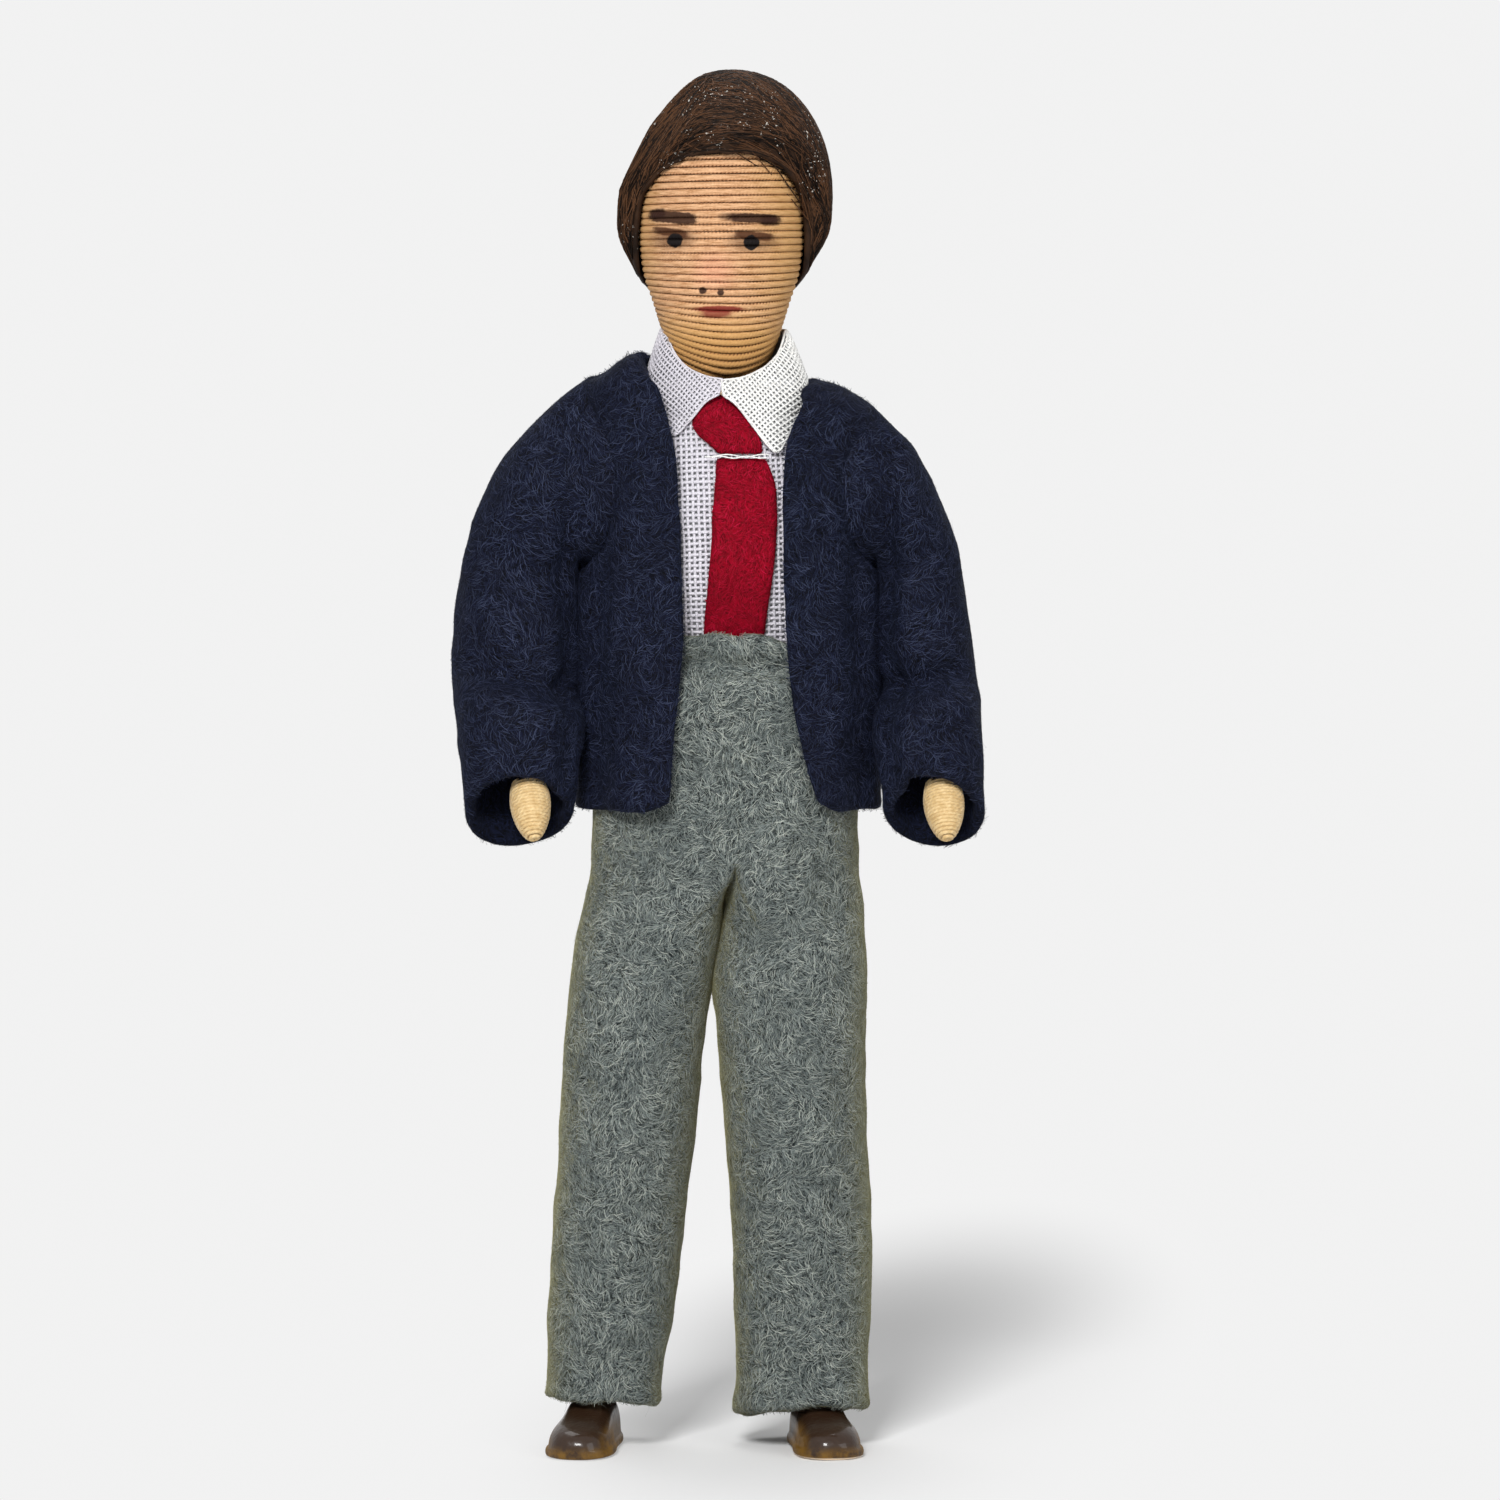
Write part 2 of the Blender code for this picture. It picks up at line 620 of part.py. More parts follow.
def add_head():
    """The head core, the thread wound round it and the hair glued over it."""
    inset = -(2 * HEAD_THREAD_RADIUS + CLEARANCE)
    shares = HEAD_CORE_SHARES
    rings = [[head_point(share, 2 * math.pi * step / RING_POINTS, inset)
              for step in range(RING_POINTS)] for share in reversed(shares)]
    core = add_piece("head_core", skin("head_core", rings, capped=True), "padding", JOINTS["head"])
    low = Vector((SPINE_X, SPINE_Y, NECK_Z))
    high = Vector((SPINE_X, SPINE_Y, NOD_Z + BEND_RADIUS + CLEARANCE))
    cut(core, bar_cutter("neck_recess", low, high, BEND_RADIUS + 2 * CLEARANCE))

    points = []
    start_share = WINDING_START / HEAD_LENGTH
    pitch_share = HEAD_THREAD_PITCH / HEAD_LENGTH
    for step in range(WINDING_LOOPS * WINDING_STEPS + 1):
        loops = step / WINDING_STEPS
        points.append(head_point(start_share + loops * pitch_share, 2 * math.pi * loops,
                                 -HEAD_THREAD_RADIUS))
    print("head winding: least gap to itself",
          round(least_gap(points, WINDING_STEPS, HEAD_THREAD_RADIUS) / MM, 3), "mm")
    curve = wire_curve("head_winding", points, HEAD_THREAD_RADIUS, bevel_resolution=1)
    add_piece("head_winding", curve, "head_thread", JOINTS["head"])
    add_hair()


def least_gap(points, per_loop, radius):
    """The least clear distance between a thread's points and those a loop or so further on."""
    least = math.inf
    for index, point in enumerate(points):
        for other in points[index + per_loop // 2:index + 2 * per_loop]:
            least = min(least, (other - point).length)
    return least - 2 * radius


# Where the hair ends: angle from the face in degrees, share of the head's length
HAIRLINE_SHARES = [(0, 0.76), (30, 0.755), (48, 0.71), (58, 0.62), (66, 0.36), (100, 0.33), (140, 0.2),
            (180, 0.23)]


def add_hair():
    """A cap of hair: thick at the sides and back, thin at the hairline."""
    columns = 24
    lines = 6
    outer, inner = [], []
    for line in range(1, lines + 1):
        outer_row, inner_row = [], []
        for column in range(columns):
            angle = 2 * math.pi * column / columns
            around = abs(math.degrees(math.remainder(angle, 2 * math.pi)))
            edge = blend_rows(HAIRLINE_SHARES, around)[0]
            depth = line / lines
            inner_share = 1 - (1 - edge) * depth ** 2
            fullness = HAIR_THICKNESS + (HAIR_EDGE - HAIR_THICKNESS) * depth ** 4
            crown = HAIR_CROWN * (1 - depth) ** 2
            point = head_point(inner_share, angle, 2 * CLEARANCE)
            inner_row.append(point)
            outward = Vector((point.x - HEAD_X, point.y - SPINE_Y, 0)).normalized()
            lift = Vector((0, 0, crown + CLEARANCE))
            outer_row.append(point + outward * fullness * min(1.0, 2 * depth) + lift)
        outer.append(outer_row)
        inner.append(inner_row)
    mesh = bmesh.new()
    outer = [[mesh.verts.new(point) for point in row] for row in outer]
    inner = [[mesh.verts.new(point) for point in row] for row in inner]
    crown_height = NOD_Z + HEAD_ABOVE_NOD + HEAD_LENGTH
    top = mesh.verts.new((HEAD_X, SPINE_Y, crown_height + HAIR_CROWN))
    under = mesh.verts.new((HEAD_X, SPINE_Y, crown_height + CLEARANCE))
    for column in range(columns):
        after = (column + 1) % columns
        mesh.faces.new((top, outer[0][after], outer[0][column]))
        mesh.faces.new((under, inner[0][column], inner[0][after]))
        for upper, lower in zip(outer, outer[1:]):
            mesh.faces.new((upper[column], upper[after], lower[after], lower[column]))
        for upper, lower in zip(inner, inner[1:]):
            mesh.faces.new((upper[after], upper[column], lower[column], lower[after]))
        mesh.faces.new((outer[-1][column], outer[-1][after], inner[-1][after], inner[-1][column]))
    data = bpy.data.meshes.new("hair")
    mesh.to_mesh(data)
    mesh.free()
    data.shade_smooth()
    add_piece("hair", data, "hair", JOINTS["head"])


ARMHOLE_MIDDLE_Z = SHOULDER_Z + (ARMHOLE_RISE - ARMHOLE_DROP) / 2
ARMHOLE_HALF_HEIGHT = (ARMHOLE_RISE + ARMHOLE_DROP) / 2


def armhole_half_angle(height):
    """How far round from the side the armhole opens at a height, easy round the sleeve."""
    share = (height - ARMHOLE_MIDDLE_Z) / (ARMHOLE_HALF_HEIGHT + ARMHOLE_EASE)
    if abs(share) >= 1:
        return 0.0
    reach = (ARMHOLE_HALF_DEPTH + ARMHOLE_EASE) * math.sqrt(1 - share ** 2)
    half_depth = blend_rows(JACKET_SECTIONS, height)[1]
    return math.asin((reach / half_depth) ** (BODY_POWER / 2))


def drooped(point):
    """Tips the jacket's shoulders a little, down towards the doll's left."""
    rise = max(0.0, min(1.0, (point.z - SHOULDER_Z) / SHOULDER_SLOPE_RISE))
    droop = SHOULDER_DROOP * rise * (point.x - JACKET_X) / JACKET_HALF_WIDTH
    return point - Vector((0, 0, droop))


# Where the jacket's front edges hang: share of its height from the hem, share of its half width
JACKET_EDGE_SHARES = {
    "right": [(0.0, 0.42), (0.2, 0.36), (0.38, 0.31), (0.65, 0.33), (0.83, 0.38), (1.0, 0.6)],
    "left": [(0.0, 0.62), (0.25, 0.44), (0.47, 0.38), (0.7, 0.36), (0.85, 0.40), (1.0, 0.6)],
}


def jacket_edge_x(side, height):
    """Where a front edge of the jacket lies."""
    hem = JACKET_SECTIONS[0][0]
    share = (height - hem) / (JACKET_SECTIONS[-1][0] - hem)
    return JACKET_X + SIDES[side] * JACKET_HALF_WIDTH * blend_rows(JACKET_EDGE_SHARES[side], share)[0]


FOLD_TOP_SHARE = 0.6


def jacket_swell(angle, share_up):
    """The soft vertical folds of the felt below the chest, in metres."""
    hang = max(0.0, 1 - share_up / FOLD_TOP_SHARE)
    return JACKET_EASE * hang * math.sin(5 * angle)


def add_jacket():
    """Jacket back, two fronts and two sleeves, open down the front."""
    hem, neck = JACKET_SECTIONS[0][0], JACKET_SECTIONS[-1][0]
    reach = ARMHOLE_HALF_HEIGHT + ARMHOLE_EASE
    armhole = [ARMHOLE_MIDDLE_Z + reach * math.cos(turn) for turn in spread(0, math.pi, 9)]
    heights = spread(neck, armhole[0], 3)[:-1] + armhole + spread(armhole[-1], hem, 6)[1:]
    back, fronts = [], {"left": [], "right": []}
    for height in heights:
        share_up = (height - hem) / (neck - hem)
        half_width, _ = blend_rows(JACKET_SECTIONS, height)
        seam = SEAM_GAP / half_width
        opening = armhole_half_angle(height) + seam

        def surface(angle):
            """A point of the jacket's outer face."""
            swell = jacket_swell(angle, share_up)
            return drooped(section_point(JACKET_SECTIONS, height, angle, swell))

        angles = spread(math.pi / 2 + opening, 3 * math.pi / 2 - opening, 13)
        back.append([surface(angle) for angle in angles])
        edge = angle_at(JACKET_SECTIONS, height, jacket_edge_x("right", height))
        fronts["right"].append([surface(angle) for angle in spread(edge, math.pi / 2 - opening, 7)])
        edge = angle_at(JACKET_SECTIONS, height, jacket_edge_x("left", height))
        fronts["left"].append([surface(angle) for angle in spread(-math.pi / 2 + opening, edge, 7)])
    thicken(add_piece("jacket_back", skin("jacket_back", back, closed=False), "jacket_felt",
                      JOINTS["torso"]), FELT)
    for side, rows in fronts.items():
        name = "jacket_front_" + side
        thicken(add_piece(name, skin(name, rows, closed=False), "jacket_felt", JOINTS["torso"]), FELT)
    for side in SIDES:
        add_sleeve(side)


# The sleeve's outer and inner lines seen from in front, below the armhole. Heights are shares of the
# sleeve's length down from the armhole's top, reaches are shares of its full width.
SLEEVE_STATION_SHARES = {
    "right": [
        (0.05, 0.43, 0.43, 0.0), (0.17, 0.68, 0.47, 0.0), (0.33, 0.91, 0.52, 0.0),
        (0.49, 1.0, 0.60, 0.0), (0.62, 1.04, 0.67, 0.0), (0.73, 1.01, 0.75, 0.01),
        (0.86, 0.96, 0.87, 0.03), (1.0, 0.92, 0.98, 0.08),
    ],
    "left": [
        (0.08, 0.30, 0.43, 0.0), (0.19, 0.53, 0.47, 0.0), (0.33, 0.74, 0.52, 0.0),
        (0.49, 0.87, 0.60, 0.0), (0.62, 0.92, 0.67, 0.0), (0.73, 0.98, 0.75, 0.01),
        (0.86, 1.0, 0.87, 0.03), (1.0, 1.01, 0.98, 0.08),
    ],
}


def arm_line(side, height):
    """The arm's depth and forward tilt at a height."""
    top, bend, end = shoulder(side), elbow(side), wrist(side)
    if height >= bend.z:
        share = (top.z - height) / (top.z - bend.z)
        return top.y + (bend.y - top.y) * share, 0.0
    share = min(1.0, (bend.z - height) / (bend.z - end.z))
    return bend.y + (end.y - bend.y) * share, CUFF_TILT * share


def armhole_ring(sign):
    """The sleeve's edge, in the jacket's armhole and flush with the jacket's side."""
    points = []
    for step in range(RING_POINTS):
        turn_angle = 2 * math.pi * step / RING_POINTS
        height = ARMHOLE_MIDDLE_Z - sign * ARMHOLE_HALF_HEIGHT * math.sin(turn_angle)
        forward = ARMHOLE_HALF_DEPTH * math.cos(turn_angle)
        half_width, half_depth = blend_rows(JACKET_SECTIONS, height)
        reach = half_width * (1 - (abs(forward) / half_depth) ** BODY_POWER) ** (1 / BODY_POWER)
        points.append(drooped(Vector((JACKET_X + sign * reach, TORSO_Y - forward, height))))
    return points


def add_sleeve(side):
    """A felt tube from the armhole, round the elbow and forward to the cuff."""
    sign = SIDES[side]
    side_x = JACKET_X + sign * (JACKET_HALF_WIDTH + CLEARANCE)
    top = SHOULDER_Z + ARMHOLE_RISE
    length = top - wrist(side).z + CUFF_BELOW_WRIST
    width = 2 * SLEEVE_HALF_WIDTH[side]
    rings = [armhole_ring(sign)]
    stations = SLEEVE_STATION_SHARES[side]
    for index, (out_down, out_reach, in_down, in_reach) in enumerate(stations, 1):
        outer = Vector((side_x + sign * width * out_reach, 0, top - length * out_down))
        inner = Vector((side_x + sign * width * in_reach, 0, top - length * in_down))
        centre = (outer + inner) / 2
        centre.y, lean = arm_line(side, centre.z)
        run = index / len(stations)
        half_depth = ARMHOLE_HALF_DEPTH + (CUFF_HALF_DEPTH - ARMHOLE_HALF_DEPTH) * run
        front = Vector((0, -math.cos(lean), math.sin(lean))) * half_depth
        toward_outer = (outer - inner) / 2
        rings.append(ring(centre, -sign * toward_outer, front,
                          swell=lambda angle, run=run: sleeve_swell(angle, run)))
    name = "jacket_sleeve_" + side
    thicken(add_piece(name, skin(name, rings), "jacket_felt", JOINTS["upper_arm_" + side]), FELT)


ELBOW_CREASE_SHARE = 0.62
CREASE_SPREAD_SHARE = 0.09


def sleeve_swell(angle, run):
    """The crease that the sleeve takes at the elbow."""
    crease = math.exp(-((run - ELBOW_CREASE_SHARE) / CREASE_SPREAD_SHARE) ** 2)
    return -SLEEVE_CREASE * crease * (1 + math.cos(2 * angle)) / 2


def add_arm(side):
    """Wires, bindings and hand of one arm."""
    top, bend, end = shoulder(side), elbow(side), wrist(side)
    add_knob("shoulder_bend_" + side, top, JOINTS["shoulder_link_" + side])
    add_wire("upper_arm_wire_" + side, top, bend, JOINTS["upper_arm_" + side])
    add_binding("upper_arm_binding_" + side, top, bend, JOINTS["upper_arm_" + side], ARM_RADIUS,
                ARM_RADIUS, BINDING_SETBACK, BINDING_SETBACK)
    add_wire("forearm_wire_" + side, bend, end, JOINTS["forearm_" + side])
    add_binding("forearm_binding_" + side, bend, end, JOINTS["forearm_" + side], ARM_RADIUS,
                HAND_RADIUS, BINDING_SETBACK, BINDING_SETBACK)
    reach = (end - bend).normalized()
    add_hand(side, end, end + reach)


# The hand from the wrist to its tip: share of its length, share of its widest
HAND_OUTLINE_SHARES = [(0.0, 0.69), (0.15, 0.84), (0.3, 0.95), (0.45, 1.0), (0.6, 0.97), (0.75, 0.86),
                       (0.88, 0.68), (1.0, 0.48)]


def add_hand(side, place, target):
    """A thread-bound hand: a ribbed spindle with a blunt tip."""
    start = BEND_RADIUS + CLEARANCE
    profile = [(0, -start)]
    for step in range(2 * HAND_RIBS + 1):
        share = step / (2 * HAND_RIBS)
        swell = blend_rows(HAND_OUTLINE_SHARES, share)[0]
        groove = HAND_RIB_DEPTH if step % 2 == 0 else 0.0
        profile.append((HAND_RADIUS * swell - groove, -start - HAND_LENGTH * share))
    profile.append((0, profile[-1][1]))
    name = "hand_" + side
    turn(add_piece(name, turned(name, profile), "hand_thread", JOINTS["hand_" + side],
                   aim(place, target)))


def add_trousers():
    """The seat and two legs of felt, with the folds that hang from the fork."""
    heights = row_heights(SEAT_SECTIONS, SEAT_SECTIONS[0][0], SEAT_SECTIONS[-1][0] + CLEARANCE,
                          CLOTH_STEP)
    rings = [body_ring(SEAT_SECTIONS, height, 0.0, SPINE_X) for height in heights]
    thicken(add_piece("trouser_seat", skin("trouser_seat", rings), "trouser_felt",
                      JOINTS["pelvis"]), FELT)
    for side in SIDES:
        add_trouser_leg(side)


BREAK_SHARE = 0.86


def leg_swell(angle, run):
    """The leg's long soft folds and the break over the shoe."""
    hang = math.sin(math.pi * run)
    folds = math.sin(2 * angle + 5 * run) + math.sin(3 * angle - 4 * run)
    broken = math.exp(-((run - BREAK_SHARE) / CREASE_SPREAD_SHARE) ** 2) * math.cos(angle)
    return LEG_FOLD * (folds / 2 * hang + broken)


def add_trouser_leg(side):
    """One leg, from under the seat to the hem on the shoe."""
    top = hip(side) - Vector((0, 0, SEAT_BELOW_HIP))
    bend, end = knee(side), ankle(side)
    hem = Vector((end.x, end.y, HEM_Z))
    stations = 10
    rings = []
    for station in range(stations):
        run = station / (stations - 1)
        height = top.z + (hem.z - top.z) * run
        upper, lower = (top, bend) if height > bend.z else (bend, hem)
        share = (upper.z - height) / (upper.z - lower.z)
        centre = upper.lerp(lower, share)
        half_width = LEG_HALF_WIDTH + (HEM_HALF_WIDTH[side] - LEG_HALF_WIDTH) * run ** 3
        half_width += LEG_FULLNESS[side] * math.sin(math.pi * min(1.0, 2 * run))
        half_depth = LEG_HALF_DEPTH + (HEM_HALF_DEPTH - LEG_HALF_DEPTH) * run
        rings.append(ring(centre, Vector((-half_width, 0, 0)), FRONT * half_depth, 2.15,
                          lambda angle, run=run: leg_swell(angle, run)))
    name = "trouser_leg_" + side
    thicken(add_piece(name, skin(name, rings), "trouser_felt", JOINTS["thigh_" + side]), FELT)


def add_leg(side):
    """Wires, bindings and shoe of one leg."""
    top, bend, end = hip(side), knee(side), ankle(side)
    add_knob("hip_bend_" + side, top, JOINTS["hip_link_" + side])
    add_wire("thigh_wire_" + side, top, bend, JOINTS["thigh_" + side])
    add_binding("thigh_binding_" + side, top, bend, JOINTS["thigh_" + side], THIGH_RADIUS,
                SHIN_RADIUS, THIGH_SETBACK, BINDING_SETBACK)
    add_wire("shin_wire_" + side, bend, end, JOINTS["shin_" + side])
    add_binding("shin_binding_" + side, bend, end, JOINTS["shin_" + side], SHIN_RADIUS,
                (SHIN_RADIUS + BINDING_END_RADIUS) / 2, BINDING_SETBACK, BINDING_SETBACK)
    add_shoe(side)


# The shoe from heel to toe: share of its length, of its half width, of its height
SHOE_STATION_SHARES = [
    (0.0, 0.52, 0.70), (0.05, 0.72, 0.88), (0.16, 0.84, 0.98), (0.30, 0.84, 1.0),
    (0.42, 0.84, 0.90), (0.54, 0.92, 0.76), (0.68, 1.0, 0.66), (0.82, 0.98, 0.60),
    (0.92, 0.80, 0.52), (0.98, 0.52, 0.40), (1.0, 0.30, 0.30),
]


def add_shoe(side):
    """One cast shoe: a flat sole with a narrow welt, and an upper that domes over it."""
    sign = SIDES[side]
    steps = 6
    rings = []
    for along, width, height in SHOE_STATION_SHARES:
        y = HEEL_BEHIND_ANKLE - SHOE_LENGTH * along
        half = SHOE_HALF_WIDTH * width
        rise = SHOE_HEIGHT * height - SOLE_THICKNESS
        points = [Vector((half, y, 0)), Vector((half, y, SOLE_THICKNESS))]
        for step in range(steps + 1):
            angle = math.pi * step / steps
            points.append(Vector(((half - WELT) * blunt(math.cos(angle), 2.4), y,
                                  SOLE_THICKNESS + rise * blunt(math.sin(angle), 2.4))))
        points += [Vector((-half, y, SOLE_THICKNESS)), Vector((-half, y, 0))]
        rings.append(points)
    name = "shoe_" + side
    outset = Vector((sign * SHOE_OUTSET, 0, 0))
    floor_point = Vector((ankle(side).x, ankle(side).y, 0)) + outset
    placed = Matrix.Translation(floor_point) @ Matrix.Rotation(sign * TOE_OUT, 4, "Z")
    add_piece(name, skin(name, rings, capped=True), "shoe_paint", JOINTS["foot_" + side], placed)


# The collar's edges: degrees from the front, height over the neck as a share of its full height
COLLAR_TOP_SHARES = [(0, 0.46), (25, 0.60), (60, 0.98), (180, 0.94)]
COLLAR_LOW_SHARES = {
    "right": [(0, 0.26), (37, -0.20), (44, -0.18), (60, 0.12), (95, 0.22), (180, 0.22)],
    "left": [(0, 0.26), (41, -0.40), (48, -0.38), (62, 0.10), (95, 0.22), (180, 0.22)],
}


def add_shirt():
    """The shirt front with its turned-down collar."""
    heights = row_heights(SHIRT_SECTIONS, NECK_Z - CLEARANCE, WAIST_Z + CLEARANCE, CLOTH_STEP)
    rows = [[section_point(SHIRT_SECTIONS, height, angle)
             for angle in spread(-SHIRT_HALF_ANGLE, SHIRT_HALF_ANGLE, 11)]
            for height in heights]
    thicken(add_piece("shirt_front", skin("shirt_front", rows, closed=False), "shirting",
                      JOINTS["torso"]), SHIRTING, outward=True)

    opening = SEAM_GAP / COLLAR_HALF_DEPTH
    levels = 4
    rest = SHIRTING + CLEARANCE
    rows = [[] for _ in range(levels)]
    for angle in spread(opening, 2 * math.pi - opening, 27):
        side = "right" if angle < math.pi else "left"
        around = abs(math.degrees(math.remainder(angle, 2 * math.pi)))
        top = blend_rows(COLLAR_TOP_SHARES, around)[0]
        low = blend_rows(COLLAR_LOW_SHARES[side], around)[0]
        for level, row in enumerate(rows):
            share = top + (low - top) * level / (levels - 1)
            flare = COLLAR_FLARE * (top - share) * max(0.0, math.cos(angle))
            point = Vector((SPINE_X - (COLLAR_HALF_WIDTH + flare) * math.sin(angle),
                            SPINE_Y - (COLLAR_HALF_DEPTH + flare) * math.cos(angle),
                            NECK_Z + COLLAR_HEIGHT * share))
            if share < top and around < 90:
                point.y = min(point.y, shirt_point(point.x, point.z, rest).y)
            row.append(point)
    thicken(add_piece("shirt_collar", skin("shirt_collar", rows, closed=False), "shirting",
                      JOINTS["torso"]), SHIRTING, outward=True)


# The knot seen from in front: share of its length, left and right edges as shares of its half width
KNOT_SHARES = [(0.0, -0.72, -0.42), (0.42, -1.4, 0.0), (0.72, -1.3, 0.45), (1.0, -0.95, 0.75)]
TIE_ACROSS_SHARES = (1.0, 0.5, 0.0, -0.5, -1.0)
# The blade's width on the way down
BLADE_WIDTH_SHARES = [(0.0, 0.92), (0.25, 1.0), (0.6, 0.93), (1.0, 0.87)]


def shirt_point(x, height, lift):
    """A point over the shirt's front at a given x."""
    angle = angle_at(SHIRT_SECTIONS, height, x, lift)
    return section_point(SHIRT_SECTIONS, height, angle, lift)


def add_tie():
    """The felt tie: its knot, a blade down the shirt front, and the thread between them."""
    lift = SHIRTING + CLEARANCE
    rows = []
    for share, left_edge, right_edge in KNOT_SHARES:
        height = NECK_Z + KNOT_RISE - KNOT_LENGTH * share
        middle = TIE_X + KNOT_HALF_WIDTH * (left_edge + right_edge) / 2
        half = KNOT_HALF_WIDTH * (right_edge - left_edge) / 2
        rows.append([shirt_point(middle + half * across, height, lift)
                     for across in TIE_ACROSS_SHARES])
    thicken(add_piece("tie_knot", skin("tie_knot", rows, closed=False), "tie_felt",
                      JOINTS["torso"]), KNOT_THICKNESS, outward=True)

    thread_z = NECK_Z + KNOT_RISE - KNOT_LENGTH - CLEARANCE - TIE_THREAD_RADIUS
    points = [shirt_point(TIE_X + TIE_HALF_WIDTH * across, thread_z, lift + TIE_THREAD_RADIUS)
              for across in TIE_ACROSS_SHARES]
    add_piece("tie_thread", wire_curve("tie_thread", points, TIE_THREAD_RADIUS, 1), "shirting",
              JOINTS["torso"])

    top = thread_z - TIE_THREAD_RADIUS - CLEARANCE
    foot = WAIST_Z + SEAT_ABOVE_WAIST + CLEARANCE
    rows = []
    for height in row_heights(SHIRT_SECTIONS, top, foot, CLOTH_STEP):
        share = (top - height) / (top - foot)
        half = TIE_HALF_WIDTH * blend_rows(BLADE_WIDTH_SHARES, share)[0]
        middle = TIE_X - TIE_LEAN * share
        rows.append([shirt_point(middle + half * across, height, lift)
                     for across in TIE_ACROSS_SHARES])
    thicken(add_piece("tie_blade", skin("tie_blade", rows, closed=False), "tie_felt",
                      JOINTS["torso"]), TIE_THICKNESS, outward=True)


def make_joint_empties():
    """One empty for each body, on the bend that the body turns about."""
    joints = {"pelvis": joint_empty("pelvis", Vector((SPINE_X, SPINE_Y, HIP_Z)))}
    joints["torso"] = joint_empty("torso", Vector((SPINE_X, SPINE_Y, WAIST_Z)), joints["pelvis"])
    joints["neck"] = joint_empty("neck", Vector((SPINE_X, SPINE_Y, NECK_Z)), joints["torso"])
    joints["head"] = joint_empty("head", Vector((SPINE_X, SPINE_Y, NOD_Z)), joints["neck"])
    chains = {
        "torso": (("shoulder_link", shoulder), ("upper_arm", shoulder), ("forearm", elbow),
                  ("hand", wrist)),
        "pelvis": (("hip_link", hip), ("thigh", hip), ("shin", knee), ("foot", ankle)),
    }
    for root, chain in chains.items():
        for side in SIDES:
            carrier = joints[root]
            for body, place in chain:
                carrier = joint_empty(body + "_" + side, place(side), carrier)
                joints[body + "_" + side] = carrier
    return joints


clear_scene()
DOLL = new_collection("Bendy doll")
CUTTERS = new_collection("Cutters")
MATERIALS = {
    "wire": new_material("Soft iron wire", (0.42, 0.41, 0.39), 0.45, 1.0),
    "padding": new_material("Cotton padding", (0.82, 0.79, 0.72), 0.95),
    "binding": new_material("Binding thread", (0.78, 0.62, 0.42), 0.8),
    "head_thread": new_material("Head thread", (0.80, 0.52, 0.31), 0.65),
    "hair": new_material("Painted hair fibre", (0.055, 0.022, 0.014), 0.5),
    "hand_thread": new_material("Hand thread", (0.88, 0.70, 0.38), 0.75),
    "shirting": new_material("White shirting", (0.86, 0.86, 0.84), 0.85),
    "tie_felt": new_material("Red felt", (0.36, 0.008, 0.02), 0.95),
    "jacket_felt": new_material("Navy felt", (0.012, 0.017, 0.045), 0.95),
    "trouser_felt": new_material("Grey-green felt", (0.17, 0.21, 0.21), 0.95),
    "shoe_paint": new_material("Brown shoe paint", (0.045, 0.016, 0.009), 0.3),
}
JOINTS = make_joint_empties()
add_spine()
add_body_padding()
add_head()
for SIDE in SIDES:
    add_arm(SIDE)
    add_leg(SIDE)
add_shirt()
add_tie()
add_jacket()
add_trousers()
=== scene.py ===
"""Looks of a dolls' house man that bends like wire.

The head and the hands are wound with thread, the hair is glued fibre, the shirt is an open plain
weave, the jacket, the tie and the trousers are felt, and the shoes are cast and painted. The doll
faces -Y, its own left hand is at +X, and sizes in this file are in millimetres until a mesh is made.
"""

import bisect
import logging
import random
from collections.abc import Callable, Sequence
from dataclasses import dataclass
from enum import Enum
from functools import cache
from math import acos, asin, atan2, copysign, cos, degrees, exp, pi, radians, remainder, sin, sqrt

import bmesh
import bpy
from bpy.types import Material, Modifier, NodeSocket, NodeTree, Object
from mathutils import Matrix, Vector
from mathutils.noise import noise


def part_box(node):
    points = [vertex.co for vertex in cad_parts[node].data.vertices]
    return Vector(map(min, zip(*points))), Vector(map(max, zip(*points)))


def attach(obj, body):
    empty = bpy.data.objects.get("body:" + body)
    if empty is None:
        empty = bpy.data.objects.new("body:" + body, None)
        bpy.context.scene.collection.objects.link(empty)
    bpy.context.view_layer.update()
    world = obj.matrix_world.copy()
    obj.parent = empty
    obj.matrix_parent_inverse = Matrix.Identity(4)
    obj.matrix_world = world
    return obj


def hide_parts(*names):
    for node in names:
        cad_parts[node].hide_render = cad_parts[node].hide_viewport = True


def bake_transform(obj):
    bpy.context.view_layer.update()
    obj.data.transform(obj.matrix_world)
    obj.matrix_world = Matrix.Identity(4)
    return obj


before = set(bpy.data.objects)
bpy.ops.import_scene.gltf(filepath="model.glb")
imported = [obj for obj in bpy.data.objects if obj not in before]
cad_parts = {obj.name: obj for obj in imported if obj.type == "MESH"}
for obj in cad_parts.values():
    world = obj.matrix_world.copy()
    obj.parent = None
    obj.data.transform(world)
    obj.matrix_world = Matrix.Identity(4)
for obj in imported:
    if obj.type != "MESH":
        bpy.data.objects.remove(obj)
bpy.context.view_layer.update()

LOG = logging.getLogger("doll")
MM = 0.001
Rows = Sequence[tuple[float, ...]]
Grid = Sequence[Sequence[Vector]]
Pair = tuple[float, float]
Triple = Colour = tuple[float, float, float]

# The middles of the neck, the limbs, the chest and the jacket, and how square their sections are
SPINE_X, SPINE_Y = 0.7, 1.0
LIMB_Y = -0.3
TORSO_Y = 0.3
JACKET_X = 1.1
WAIST_Z, SHOULDER_Z = 80.0, 98.0
BODY_POWER = 2.25


